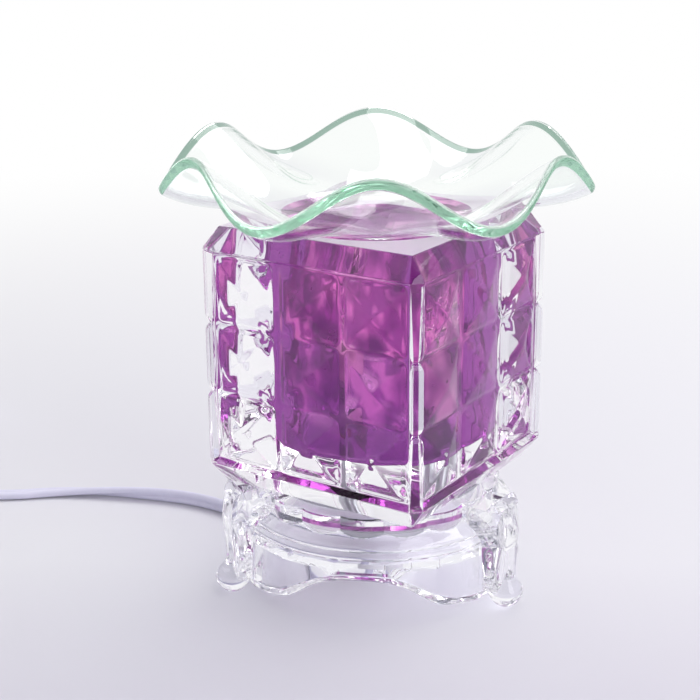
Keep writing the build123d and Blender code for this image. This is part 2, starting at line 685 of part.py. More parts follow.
def dimmer_tray():
    tray = extrude(dimmer_plan(0), DIMMER_SPLIT)
    tray = chamfer(tray.edges().group_by(Axis.Z)[0], DIMMER_EDGE / 2)
    tray -= Pos(0, 0, DIMMER_WALL) * extrude(dimmer_plan(DIMMER_WALL), DIMMER_SPLIT)
    tray -= extrude(cord_slot(0, LEAD_HEIGHT, flat_way(), CORD_HOLE_GAP), -DIMMER_LENGTH)
    tray -= extrude(cord_slot(0, LEAD_HEIGHT, edge_way(-1), CORD_HOLE_GAP), DIMMER_LENGTH)
    boss = disc(DIMMER_BOSS_RADIUS, 0, DIMMER_SPLIT)
    screw_hole = disc(DIMMER_SCREW_RADIUS + THREAD_CLEARANCE, 0, DIMMER_SPLIT)
    head_hole = disc(SCREW_HEAD_RADIUS - THREAD_CLEARANCE * 5, 0, SCREW_HEAD_HEIGHT + THREAD_CLEARANCE)
    for place in screw_places():
        tray += place * boss
    for place in screw_places():
        tray -= place * (screw_hole + head_hole)
    for side in (-1, 1):
        reach = BOARD_WIDTH / 2 - DIMMER_WALL / 2
        rib_height = BOARD_BOTTOM - DIMMER_WALL
        tray += Pos(0, side * reach, DIMMER_WALL) * Box(BOARD_LENGTH / 2, DIMMER_WALL, rib_height, align=LOW)
    return on_dimmer(tray)


def dimmer_cover():
    cover = Pos(0, 0, DIMMER_SPLIT) * extrude(dimmer_plan(0), DIMMER_HEIGHT - DIMMER_SPLIT)
    cover = fillet(cover.edges().group_by(Axis.Z)[-1], DIMMER_EDGE)
    room = DIMMER_HEIGHT - DIMMER_WALL - DIMMER_SPLIT
    cover -= Pos(0, 0, DIMMER_SPLIT) * extrude(dimmer_plan(DIMMER_WALL), room)
    cover -= disc(SPINDLE_RADIUS + KNOB_GAP, DIMMER_SPLIT, DIMMER_HEIGHT)
    post = ring(DIMMER_BOSS_RADIUS, DIMMER_SCREW_RADIUS + THREAD_CLEARANCE / 2, DIMMER_SPLIT, room)
    for place in screw_places():
        cover += place * post
    return on_dimmer(cover)


def dimmer_screws():
    length = DIMMER_SCREW_LENGTH
    head_radius = SCREW_HEAD_RADIUS - THREAD_CLEARANCE * 6
    head = disc(head_radius, THREAD_CLEARANCE, SCREW_HEAD_HEIGHT)
    slot = Pos(0, 0, THREAD_CLEARANCE) * Box(2 * head_radius, head_radius / 4, SCREW_HEAD_HEIGHT)
    screw = head + disc(DIMMER_SCREW_RADIUS, SCREW_HEAD_HEIGHT, length) - slot
    return [on_dimmer(place * screw) for place in screw_places()]


def dimmer_board():
    board = Pos(0, 0, BOARD_BOTTOM) * Box(BOARD_LENGTH, BOARD_WIDTH, BOARD_THICK, align=LOW)
    return on_dimmer(board)


def pot_bottom():
    return BOARD_BOTTOM + BOARD_THICK


def dimmer_pot():
    """The rotary control on the board, with the spindle that carries the knob."""
    body = disc(POT_RADIUS, pot_bottom(), POT_HEIGHT)
    spindle_top = KNOB_BOTTOM + KNOB_HEIGHT / 2
    return on_dimmer(body + disc(SPINDLE_RADIUS, pot_bottom(), spindle_top - pot_bottom()))


def dimmer_knob():
    """A fluted dial with a pressed-in pointer, open below for the spindle."""
    knob = disc(KNOB_RADIUS, KNOB_BOTTOM, KNOB_HEIGHT)
    knob = fillet(knob.edges().group_by(Axis.Z)[-1], KNOB_GAP * 2)
    flute = disc(KNOB_FLUTE_RADIUS, KNOB_BOTTOM, KNOB_HEIGHT)
    reach = KNOB_RADIUS + KNOB_FLUTE_RADIUS / 2
    knob -= [turned(Pos(reach, 0, 0) * flute, 360 * k / KNOB_FLUTES) for k in range(KNOB_FLUTES)]
    bore_depth = KNOB_HEIGHT / 2 + KNOB_GAP
    knob -= disc(SPINDLE_RADIUS + SPINDLE_CLEARANCE, KNOB_BOTTOM, bore_depth)
    mark = Pos(KNOB_RADIUS / 2, 0, KNOB_BOTTOM + KNOB_HEIGHT) * Box(
        KNOB_RADIUS / 2, KNOB_FLUTE_RADIUS, 2 * KNOB_MARK_DEPTH
    )
    return on_dimmer(knob - mark)


def relief(z, wide_way):
    """A soft sleeve that tapers from its root to the flex, along +X."""
    sleeve = loft([cord_slot(0, z, wide_way, RELIEF_WALL), cord_slot(RELIEF_LENGTH, z, wide_way, RELIEF_TIP_WALL)])
    return sleeve - extrude(cord_slot(0, z, wide_way, CORD_HOLE_GAP / 2), RELIEF_LENGTH)


def dimmer_reliefs():
    end = DIMMER_LENGTH / 2
    lamp_side = Rot(0, 0, 180) * Pos(end, 0, 0) * relief(LEAD_HEIGHT, flat_way())
    return [on_dimmer(lamp_side), on_dimmer(Pos(end, 0, 0) * relief(LEAD_HEIGHT, edge_way(-1)))]


# Put-away coil between the dimmer and the plug


def coil_start():
    """Where the flex turns into the coil's outer loop."""
    run = 2 * RELIEF_LENGTH + DIMMER_LENGTH + COIL_RUN_IN
    return dimmer_start() + HEADING * run


def half_turn_radii():
    """Spiral in on the lower layer, climb in one half turn, and spiral out on the upper."""
    count = COIL_HALF_TURNS
    inward = [COIL_RADIUS - COIL_PITCH / 2 * k for k in range(count + 1)]
    return inward + inward[-2::-1]


def coil_arcs():
    """Three points of each half turn: its start, its middle and its end."""
    arcs = []
    place = coil_start()
    heading = HEADING
    side = COIL_SIDE
    for k, radius in enumerate(half_turn_radii()):
        climb = COIL_LAYER if k == COIL_HALF_TURNS else 0
        middle = place + side * radius + heading * radius + UP * (climb / 2)
        end = place + side * (2 * radius) + UP * climb
        arcs.append((place, middle, end))
        place = end
        heading = -heading
        side = -side
    return arcs


def coil_lean():
    """The climbing half turn tips the flex, so it starts leaning one way and ends leaning the other."""
    return atan2(COIL_LAYER, 2 * half_turn_radii()[COIL_HALF_TURNS])


def least_self_gap(arcs):
    """The least gap between two stretches of the coil, on points across and along its two cores."""
    steps = 24
    half = (CORD_WIDTH - CORD_THICK) / 2
    rings = []
    for k, (start, middle, end) in enumerate(arcs):
        centre = (start + end) / 2
        for step in range(steps):
            angle = pi * step / steps
            spot = centre + (start - centre) * cos(angle) + (middle - centre) * sin(angle)
            climbed = min(max(k + step / steps - COIL_HALF_TURNS, 0), 1)
            lean = coil_lean() * (2 * climbed - 1)
            across = UP * cos(lean) + (centre - spot).normalized() * sin(lean)
            rings.append([spot + across * (half * share) for share in (-1, 0, 1)])
    return min(
        (a - b).length - CORD_THICK
        for i, ring_a in enumerate(rings)
        for ring_b in rings[i + steps:]
        for a in ring_a
        for b in ring_b
    )


def coil_end():
    return coil_arcs()[-1][2] - HEADING * COIL_RUN_OUT


def cord_coil():
    arcs = coil_arcs()
    inside = RELIEF_LENGTH + DIMMER_WALL + CORD_TAIL + COIL_RUN_IN
    start = coil_start() - HEADING * inside
    tail = coil_end() - HEADING * (RELIEF_LENGTH + CORD_TAIL)
    edges = [Line(start, arcs[0][0])]
    edges += [ThreePointArc(*points) for points in arcs]
    edges += [Line(arcs[-1][2], tail)]
    path = Wire(edges)
    lean = coil_lean()
    upright = UP * cos(lean) - COIL_SIDE * sin(lean)
    section = Plane(start, x_dir=upright, z_dir=HEADING) * SlotOverall(CORD_WIDTH, CORD_THICK)
    solid = sweep(section, path)
    print("coil length", round(path.length, 1), "least gap to itself", round(least_self_gap(arcs), 2))
    print("coil volume against section times length", round(solid.volume / (section.area * path.length), 4))
    return solid


def coil_tie():
    """A flat plastic tie round the bundle, opposite the two ends."""
    radii = half_turn_radii()
    inner = radii[COIL_HALF_TURNS] - CORD_WIDTH / 2 - TIE_GAP
    outer = COIL_RADIUS + CORD_THICK / 2 + TIE_GAP
    lean_half = CORD_WIDTH / 2
    low = LEAD_HEIGHT - lean_half - TIE_GAP
    high = LEAD_HEIGHT + COIL_LAYER + lean_half + TIE_GAP
    wide = outer - inner
    tall = high - low
    loop = RectangleRounded(wide + 2 * TIE_THICK, tall + 2 * TIE_THICK, 2 * TIE_THICK)
    loop -= RectangleRounded(wide, tall, TIE_THICK)
    middle = coil_start() + COIL_SIDE * COIL_RADIUS + HEADING * ((inner + outer) / 2)
    plane = Plane((middle.X, middle.Y, (low + high) / 2), x_dir=HEADING, z_dir=COIL_SIDE)
    return extrude(plane * loop, TIE_WIDTH / 2, both=True)


# Plug, made along +X from the tip of its strain relief and laid at the coil's end


def on_plug(part):
    place = coil_end()
    return Pos(place.X, place.Y, place.Z) * Rot(0, 0, DIMMER_HEADING + 180) * part


def upright_slot(x, wide, thick, corner):
    return Plane((x, 0, 0), x_dir=(0, 0, 1), z_dir=(1, 0, 0)) * RectangleRounded(wide, thick, corner)


def plug_body():
    """The moulded body: narrow at the flex, full at the face that carries the blades."""
    root = RELIEF_LENGTH
    face = RELIEF_LENGTH + PLUG_LENGTH
    shell = loft(
        [
            upright_slot(root, PLUG_WIDTH - 2 * PLUG_TAPER, PLUG_THICK - PLUG_TAPER, PLUG_ROUND),
            upright_slot((root + face) / 2, PLUG_WIDTH - PLUG_TAPER / 2, PLUG_THICK - PLUG_TAPER / 2, PLUG_ROUND),
            upright_slot(face, PLUG_WIDTH, PLUG_THICK, PLUG_ROUND),
        ],
        ruled=True,
    )
    shell -= extrude(cord_slot(root, 0, edge_way(1), CORD_HOLE_GAP / 2), CORD_TAIL + CORD_HOLE_GAP)
    for side in (-1, 1):
        pocket = Box(BLADE_ROOT, BLADE_WIDTH, BLADE_THICK, align=(Align.MAX, Align.CENTER, Align.CENTER))
        shell -= Pos(face, 0, side * BLADE_SPACING / 2) * pocket
    return on_plug(shell)


def plug_relief():
    """The soft sleeve between the flex and the plug, widest at the plug."""
    sleeve = relief(0, edge_way(-1))
    return on_plug(Pos(RELIEF_LENGTH, 0, 0) * Rot(0, 0, 180) * sleeve)


def plug_blades():
    length = BLADE_ROOT + BLADE_LENGTH
    blade = Box(length, BLADE_WIDTH, BLADE_THICK, align=(Align.MIN, Align.CENTER, Align.CENTER))
    tips = blade.edges().filter_by(Axis.Y).group_by(Axis.X)[-1]
    blade = chamfer(tips, BLADE_THICK / 4)
    root = RELIEF_LENGTH + PLUG_LENGTH - BLADE_ROOT
    return [on_plug(Pos(root, 0, side * BLADE_SPACING / 2) * blade) for side in (-1, 1)]


NODES = {
    "glass_base": glass_base,
    "base_gasket": base_gasket,
    "glass_body": glass_body,
    "glass_dish": glass_dish,
    "threaded_pipe": threaded_pipe,
    "rubber_washer": lambda: thread_ring(WASHER_RADIUS, WEB_BOTTOM - RUBBER_WASHER, RUBBER_WASHER),
    "steel_washer": lambda: thread_ring(WASHER_RADIUS, WASHER_BOTTOM, STEEL_WASHER),
    "base_nut": lambda: hex_nut(NUT_FLATS, PIPE_RADIUS + THREAD_CLEARANCE, NUT_BOTTOM, NUT_HEIGHT),
    "pipe_bushing": pipe_bushing,
    "fibre_washer": lambda: thread_ring(WASHER_RADIUS, CAVITY_FLOOR, FIBRE_WASHER),
    "holder_saddle": holder_saddle,
    "saddle_locknut": lambda: hex_nut(
        LOCKNUT_FLATS, PIPE_RADIUS + THREAD_CLEARANCE, LOCKNUT_BOTTOM, LOCKNUT_HEIGHT
    ),
    "lamp_holder": lamp_holder,
    "holder_screws": holder_screws,
    "contact_springs": contact_springs,
    "lead_wires": lead_wires,
    "bulb_glass": bulb_glass,
    "bulb_pins": bulb_pins,
    "bulb_filament": bulb_filament,
    "cord": cord,
    "dimmer_tray": dimmer_tray,
    "dimmer_cover": dimmer_cover,
    "dimmer_screws": dimmer_screws,
    "dimmer_board": dimmer_board,
    "dimmer_pot": dimmer_pot,
    "dimmer_knob": dimmer_knob,
    "dimmer_reliefs": dimmer_reliefs,
    "cord_coil": cord_coil,
    "coil_tie": coil_tie,
    "plug_body": plug_body,
    "plug_relief": plug_relief,
    "plug_blades": plug_blades,
}

os.makedirs("parts", exist_ok=True)
for name, make in NODES.items():
    made = make()
    solids = made if isinstance(made, list) else [made]
    export_step(Compound([solid for piece in solids for solid in piece.solids()]), f"parts/{name}.step")
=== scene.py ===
import math

import bmesh
import bpy
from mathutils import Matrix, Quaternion, Vector


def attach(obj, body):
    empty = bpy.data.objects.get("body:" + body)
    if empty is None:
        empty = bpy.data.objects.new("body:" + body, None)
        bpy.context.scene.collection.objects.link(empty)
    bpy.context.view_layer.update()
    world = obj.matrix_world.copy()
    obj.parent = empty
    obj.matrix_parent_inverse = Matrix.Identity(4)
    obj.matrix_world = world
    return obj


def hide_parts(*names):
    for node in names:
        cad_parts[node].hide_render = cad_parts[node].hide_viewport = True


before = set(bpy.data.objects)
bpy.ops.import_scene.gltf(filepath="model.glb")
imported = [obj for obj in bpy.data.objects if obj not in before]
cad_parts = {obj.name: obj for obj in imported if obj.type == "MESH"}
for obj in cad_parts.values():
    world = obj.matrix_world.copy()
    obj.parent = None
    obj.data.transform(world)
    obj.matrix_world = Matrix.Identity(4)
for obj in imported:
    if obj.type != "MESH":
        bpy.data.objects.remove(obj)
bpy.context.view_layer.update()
scene = bpy.context.scene
scene.view_settings.view_transform = "Standard"
# Light crosses many faces of glass in a row here, so its paths may be long
GLASS_BOUNCES = 64
scene.cycles.max_bounces = GLASS_BOUNCES
scene.cycles.transmission_bounces = GLASS_BOUNCES
scene.cycles.glossy_bounces = GLASS_BOUNCES

# Glass base: clear soda-lime glass pressed in a split mould and fire-polished. A panelled skirt
# stands on three legs with drop-shaped feet, and a fluted neck above it carries the square block.
MM = 0.001
BASE_TOP = 34.2
BASE_TURN = -4.1
BASE_SEGMENTS = 216
PANELS = 18
PANEL_STEP = 2 * math.pi / PANELS
SKIRT_RADIUS = 48.4
SKIRT_LOW = 3.5
SKIRT_TOP = 22.0
SKIRT_TAPER = math.tan(math.radians(3.0))
SKIRT_WALL = 5.2
LEGS = 3
LEG_STEP = 2 * math.pi / LEGS
ARCH_HALF = 36.0
ARCH_TOP_HALF = 3.0
ARCH_RISE = 11.8
ARCH_CLEAR = 16.5
BEADS = [(24.3, 1.4), (26.4, 3.2)]
BEAD_BOW = 0.7
HOLLOW_BOW = 0.6
NECK_LOW = 29.0
NECK_RADIUS = 39.9
FLUTE_BULGE = 1.4
WEB_UNDER = 28.0
PIPE_HOLE = 5.4
EDGE_SOFT = 0.7
EDGE_CUT = 0.25
PANEL_CUT = 0.3
FLUTE_CUT = 0.2


def srgb(text):
    """A linear colour from an sRGB hex value."""
    parts = [int(text[k:k + 2], 16) / 255 for k in (1, 3, 5)]
    return [c / 12.92 if c <= 0.04045 else ((c + 0.055) / 1.055) ** 2.4 for c in parts] + [1.0]


def node(tree, kind, inputs=None, **settings):
    """Adds a node with its settings, and links or sets its sockets."""
    made = tree.nodes.new(kind)
    for key, value in settings.items():
        setattr(made, key, value)
    for key, value in (inputs or {}).items():
        if isinstance(value, bpy.types.NodeSocket):
            tree.links.new(value, made.inputs[key])
        else:
            made.inputs[key].default_value = value
    return made


def new_material(name):
    made = bpy.data.materials.new(name)
    made.use_nodes = True
    made.node_tree.nodes.clear()
    return made, made.node_tree


def finish_material(tree, shader, through=None, depth=None):
    """Ends a material. Through is the colour of the light that clear glass lets past to what is
    behind it, and depth is the tint that builds up inside it."""
    if through:
        paths = node(tree, "ShaderNodeLightPath")
        past = node(tree, "ShaderNodeBsdfTransparent", {"Color": srgb(through)})
        inputs = {0: paths.outputs["Is Shadow Ray"], 1: shader.outputs[0], 2: past.outputs[0]}
        shader = node(tree, "ShaderNodeMixShader", inputs)
    inputs = {"Surface": shader.outputs[0]}
    if depth:
        inputs["Volume"] = depth.outputs[0]
    node(tree, "ShaderNodeOutputMaterial", inputs)


def edit(obj):
    """Goes into edit mode on one object with nothing selected."""
    bpy.ops.object.select_all(action="DESELECT")
    obj.select_set(True)
    bpy.context.view_layer.objects.active = obj
    bpy.ops.object.mode_set(mode="EDIT")
    bpy.ops.mesh.select_all(action="DESELECT")


def leave_edit():
    bpy.ops.object.mode_set(mode="OBJECT")


def grow(name, segments, rings, close):
    """A circle extruded from ring to ring. A ring gives a point in millimetres for an angle."""
    bpy.ops.object.select_all(action="DESELECT")
    bpy.ops.mesh.primitive_circle_add(vertices=segments, radius=1.0)
    obj = bpy.context.object
    obj.name = obj.data.name = name
    angles = [math.atan2(v.co.y, v.co.x) for v in obj.data.vertices]
    edit(obj)
    bpy.ops.mesh.select_mode(type="VERT")
    bpy.ops.mesh.select_all(action="SELECT")
    for k, ring in enumerate(rings):
        if k:
            bpy.ops.mesh.extrude_edges_move()
        mesh = bmesh.from_edit_mesh(obj.data)
        picked = sorted((v for v in mesh.verts if v.select), key=lambda v: v.index)
        mesh.verts.index_update()
        for v, angle in zip(picked, angles):
            v.co = Vector(ring(angle)) * MM
        bmesh.update_edit_mesh(obj.data)
    bpy.ops.mesh.select_mode(type="VERT")
    if close == "bridge":
        bpy.ops.mesh.select_all(action="DESELECT")
        bpy.ops.mesh.select_non_manifold()
        bpy.ops.mesh.bridge_edge_loops()
    else:
        bpy.ops.mesh.select_all(action="SELECT")
        bpy.ops.mesh.fill_holes(sides=0)
    bpy.ops.mesh.select_all(action="SELECT")
    bpy.ops.mesh.normals_make_consistent(inside=False)
    leave_edit()
    return obj


def apply_boolean(obj, tool, operation):
    """Cuts or joins with a tool piece, which is used up. The tool's own materials come along."""
    cut = obj.modifiers.new("cut", "BOOLEAN")
    cut.operation = operation
    cut.solver = "EXACT"
    cut.material_mode = "TRANSFER"
    cut.object = tool
    bpy.context.view_layer.objects.active = obj
    bpy.ops.object.modifier_apply(modifier=cut.name)
    bpy.data.objects.remove(tool, do_unlink=True)


def smooth(obj, degrees):
    bpy.ops.object.select_all(action="DESELECT")
    obj.select_set(True)
    bpy.context.view_layer.objects.active = obj
    bpy.ops.object.shade_smooth_by_angle(angle=math.radians(degrees))


def dress(obj, body, slot, *nodes):
    """Sets a finished piece on its body in place of its CAD nodes."""
    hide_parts(*nodes)
    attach(obj, body)


def clear_finish(
    name,
    colour,
    through,
    grain_mm,
    strength,
    depth_mm,
    ior,
    roughness,
    detail=1.0,
    clarity=1.0,
    tint=None,
):
    """A see-through material whose surface is a little uneven, by a depth over a grain's length.
    Tint is the colour and density of its inside."""
    made, tree = new_material(name)
    place = node(tree, "ShaderNodeTexCoord")
    inputs = {"Vector": place.outputs["Object"], "Scale": 1 / (grain_mm * MM), "Detail": detail}
    grain = node(tree, "ShaderNodeTexNoise", inputs)
    inputs = {"Height": grain.outputs["Fac"], "Strength": strength, "Distance": depth_mm * MM}
    bump = node(tree, "ShaderNodeBump", inputs)
    inputs = {
        "Base Color": srgb(colour),
        "Transmission Weight": clarity,
        "IOR": ior,
        "Roughness": roughness,
        "Normal": bump.outputs["Normal"],
    }
    clear = node(tree, "ShaderNodeBsdfPrincipled", inputs)
    depth = None
    if tint:
        inputs = {"Color": srgb(tint[0]), "Density": tint[1]}
        depth = node(tree, "ShaderNodeVolumeAbsorption", inputs)
    finish_material(tree, clear, through, depth)
    return made


# Pressed soda-lime glass: colourless, bright and not quite flat, because it took the mould's skin
# and was then flame polished. That gives slow ripples a few millimetres long.
pressed_glass = clear_finish(
    "pressed_soda_lime_glass", "#fbfbfd", "#f4f4f7", 9.0, 0.25, 0.25, ior=1.52, roughness=0.015
)


def from_panel(angle):
    """The angle from the middle of the nearest panel. One panel is at angle zero."""
    return (angle + PANEL_STEP / 2) % PANEL_STEP - PANEL_STEP / 2


def panel_radius(angle, radius):
    """The skirt is a polygon of flat panels."""
    return radius * math.cos(PANEL_STEP / 2) / math.cos(from_panel(angle))


def flute_radius(angle):
    """One shallow convex flute for each panel."""
    off = from_panel(angle) / (PANEL_STEP / 2)
    return NECK_RADIUS + FLUTE_BULGE * (1 - off * off)


def ease(share):
    """A share from 0 to 1 that starts and ends gently."""
    share = min(max(share, 0.0), 1.0)
    return share * share * (3 - 2 * share)


def arch_height(side):
    """The skirt's lower edge at a distance from an arch's middle: level, an S, then level."""
    if abs(side) <= ARCH_TOP_HALF:
        return SKIRT_LOW + ARCH_RISE
    if abs(side) >= ARCH_HALF:
        return SKIRT_LOW
    turn = (ARCH_HALF + ARCH_TOP_HALF) / 2
    low, high = 0.0, 1.0
    for _ in range(30):
        t = (low + high) / 2
        at = ARCH_HALF * (1 - t) ** 3 + 3 * turn * t * (1 - t) + ARCH_TOP_HALF * t ** 3
        low, high = (t, high) if at > abs(side) else (low, t)
    return SKIRT_LOW + ARCH_RISE * ease(t)


def skirt_edge(angle, radius):
    """Height of the skirt's lower edge, under three arches at 60, 180 and 300 degrees."""
    off = angle % LEG_STEP - LEG_STEP / 2
    return arch_height(radius * math.sin(off))


def round_ring(radius, height):
    return lambda a: (radius * math.cos(a), radius * math.sin(a), height)


def free_ring(shape):
    """A ring from a function that gives a radius and a height for an angle."""
    def ring(a):
        radius, height = shape(a)
        return radius * math.cos(a), radius * math.sin(a), height
    return ring


def skirt_ring(height, inset=0.0):
    at = SKIRT_RADIUS - inset - (height - SKIRT_LOW) * SKIRT_TAPER
    return free_ring(lambda a: (panel_radius(a, at), height))


def arch_ring(inset, lift):
    """A ring along the skirt's lower edge, on the outer face."""
    def shape(a):
        edge = skirt_edge(a, panel_radius(a, SKIRT_RADIUS)) + lift
        at = SKIRT_RADIUS - inset - (edge - SKIRT_LOW) * SKIRT_TAPER
        return panel_radius(a, at), edge
    return free_ring(shape)


skirt_flat = SKIRT_RADIUS * math.cos(PANEL_STEP / 2)
skirt_inner = skirt_flat - SKIRT_WALL


def inner_arch_ring(outset, lift):
    return free_ring(lambda a: (skirt_inner + outset, skirt_edge(a, skirt_inner) + lift))


def shoulder_radius(height):
    """Two beads above the skirt and the hollow curve up to the neck."""
    skirt = skirt_flat - (SKIRT_TOP - SKIRT_LOW) * SKIRT_TAPER
    line = [(SKIRT_TOP, skirt)] + [(z, skirt - inset) for z, inset in BEADS]
    line.append((NECK_LOW, NECK_RADIUS))
    for k, ((z0, r0), (z1, r1)) in enumerate(zip(line, line[1:])):
        if height <= z1 or k == len(BEADS):
            share = min((height - z0) / (z1 - z0), 1.0)
            bow = BEAD_BOW if k < len(BEADS) else -HOLLOW_BOW
            return r0 + (r1 - r0) * share + bow * math.sin(math.pi * share)


def neck_ring(height):
    return free_ring(lambda a: (max(shoulder_radius(height), flute_radius(a)), height))


def flute_ring(inset, drop):
    """A ring on the rounded upper edge of the neck."""
    return free_ring(lambda a: (flute_radius(a) - inset, BASE_TOP - drop))


# The rings go up the outside, over the neck, through the pipe hole and down the hollow inside
bead_heights = [SKIRT_TOP + 0.3 * k for k in range(1, 10)]
neck_heights = [SKIRT_TOP + 3.0 + 0.25 * k for k in range(17)]
web_line = [(24.0, BASE_TOP), (PIPE_HOLE, BASE_TOP), (PIPE_HOLE, WEB_UNDER), (18.0, WEB_UNDER)]
web_line += [(28.5, WEB_UNDER), (30.5, WEB_UNDER - 1.0)]
web_line += [(skirt_inner - 2.2, SKIRT_TOP - 4.4), (skirt_inner - 1.3, SKIRT_TOP - 5.6)]
base_rings = [arch_ring(EDGE_CUT, EDGE_CUT), arch_ring(0.0, EDGE_SOFT), skirt_ring(ARCH_CLEAR)]
base_rings += [skirt_ring(SKIRT_TOP - EDGE_SOFT), skirt_ring(SKIRT_TOP, PANEL_CUT)]
base_rings += [round_ring(shoulder_radius(z), z) for z in bead_heights]
base_rings += [neck_ring(z) for z in neck_heights]
base_rings += [flute_ring(0.0, EDGE_SOFT), flute_ring(FLUTE_CUT, FLUTE_CUT)]
base_rings += [flute_ring(EDGE_SOFT, 0.0)]
base_rings += [round_ring(radius, z) for radius, z in web_line]
base_rings += [inner_arch_ring(0.0, EDGE_SOFT), inner_arch_ring(EDGE_CUT, EDGE_CUT)]
base_rings += [inner_arch_ring(EDGE_SOFT, 0.0), arch_ring(EDGE_SOFT, 0.0)]
base = grow("base_glass", BASE_SEGMENTS, base_rings, "bridge")

# Legs: three upright columns pressed in one with the skirt, with rounded crowns. Each stands on a
# drop-shaped foot that is ground flat underneath.
LEG_WIDTH = 13.0
LEG_SQUARE = 0.45
LEG_FRONT = [(5.0, 53.0), (12.8, 53.1), (26.1, 54.0), (34.2, 52.6), (36.8, 50.9)]
LEG_TOP = 36.8
LEG_NAPE = 33.8
LEG_SINK = 1.0
LEG_BACK_SLOPE = 0.9
LEG_BACK_MOST = 43.2
LEG_RINGS = 20
LEG_SEGMENTS = 48
CROWN_LEAN = 1.2
CROWN_HEIGHTS = [LEG_NAPE + 0.02, LEG_NAPE + 0.8, LEG_NAPE + 1.6, LEG_TOP - 0.6]
CROWN_ROUND = [(LEG_TOP - 0.25, 0.15), (LEG_TOP - 0.05, 0.4)]
FOOT_CIRCLE = 52.0
FOOT_BALL = 6.4
FOOT_FLAT = 2.4
FOOT_LINE = [(0.0, FOOT_FLAT), (0.25, 2.9), (1.2, 4.0), (2.4, 5.0), (3.6, 5.6), (4.8, 5.8)]
FOOT_LINE += [(6.0, 5.6), (7.4, 4.9), (8.8, 3.9), (10.2, 2.8), (11.6, 1.8), (12.8, 1.0)]
FOOT_LINE += [(13.6, 0.5)]
FOOT_SEGMENTS = 40
# The leg starts at the middle of a ball that would be ground to the same flat
leg_low = math.sqrt(FOOT_BALL ** 2 - FOOT_FLAT ** 2)


def leg_front(height):
    """Front of the leg, on a smooth curve through its height and radius points."""
    spots = [LEG_FRONT[0]] + LEG_FRONT + [LEG_FRONT[-1]]
    for k in range(1, len(spots) - 2):
        (z0, r0), (z1, r1), (z2, r2), (z3, r3) = spots[k - 1:k + 3]
        if height <= z2 or k == len(spots) - 3:
            t = (height - z1) / (z2 - z1)
            start = (r2 - r0) / (z2 - z0) * (z2 - z1)
            end = (r3 - r1) / (z3 - z1) * (z2 - z1)
            fall = t * (1 - t)
            return r1 + (r2 - r1) * ease(t) + start * fall * (1 - t) - end * fall * t


def leg_back(height):
    """The leg runs back into the neck, and only its crown stands free of the block."""
    if height > LEG_NAPE:
        return SKIRT_RADIUS + CROWN_LEAN * (height - LEG_NAPE) / (LEG_TOP - LEG_NAPE)
    if height > SKIRT_TOP:
        return NECK_RADIUS - LEG_SINK
    return min(NECK_RADIUS - LEG_SINK + LEG_BACK_SLOPE * (SKIRT_TOP - height), LEG_BACK_MOST)


def leg_ring(height, turn, shrink=0.0):
    """A rounded box section across the leg, turned to its place round the base."""
    middle = (leg_front(height) + leg_back(height)) / 2
    deep = (leg_front(height) - leg_back(height)) / 2 - shrink
    wide = LEG_WIDTH / 2 - shrink

    def ring(a):
        c, s = math.cos(a), math.sin(a)
        x = middle + deep * math.copysign(abs(c) ** LEG_SQUARE, c)
        y = wide * math.copysign(abs(s) ** LEG_SQUARE, s)
        return (
            x * math.cos(turn) - y * math.sin(turn),
            x * math.sin(turn) + y * math.cos(turn),
            height,
        )
    return ring


def foot_ring(height, radius, turn):
    middle = (FOOT_CIRCLE * math.cos(turn), FOOT_CIRCLE * math.sin(turn))
    return lambda a: (middle[0] + radius * math.cos(a), middle[1] + radius * math.sin(a), height)


leg_heights = [leg_low + (LEG_NAPE - leg_low) * k / LEG_RINGS for k in range(LEG_RINGS + 1)]
for k in range(LEGS):
    turn = k * LEG_STEP
    leg_rings = [leg_ring(z, turn) for z in leg_heights + CROWN_HEIGHTS]
    leg_rings += [leg_ring(z, turn, shrink) for z, shrink in CROWN_ROUND]
    leg = grow("leg", LEG_SEGMENTS, leg_rings, "cap")
    foot_rings = [foot_ring(z, radius, turn) for z, radius in FOOT_LINE]
    foot = grow("foot", FOOT_SEGMENTS, foot_rings, "cap")
    apply_boolean(leg, foot, "UNION")
    apply_boolean(base, leg, "UNION")
bpy.ops.object.select_all(action="DESELECT")
base.select_set(True)
base.rotation_euler.z = math.radians(BASE_TURN)
bpy.ops.object.transform_apply(location=True, rotation=True, scale=True)
base.data.materials.clear()
base.data.materials.append(pressed_glass)
smooth(base, 17)
dress(base, "stand", "clear_glass", "glass_base")


# Gasket: a ring of soft clear PVC on the neck's rim. It keeps glass off glass, and its moulded skin
# is hazy with a fine grain.
def paint(material, *names):
    """Gives a material to CAD nodes that stay in view."""
    for name in names:
        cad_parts[name].data.materials.clear()
        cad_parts[name].data.materials.append(material)


soft_pvc = clear_finish(
    "soft_clear_pvc",
    "#f8f8fa",
    "#f2f2f4",
    0.8,
    0.3,
    0.05,
    ior=1.5,
    roughness=0.2,
    detail=2.0,
    clarity=0.95,
)
paint(soft_pvc, "base_gasket")

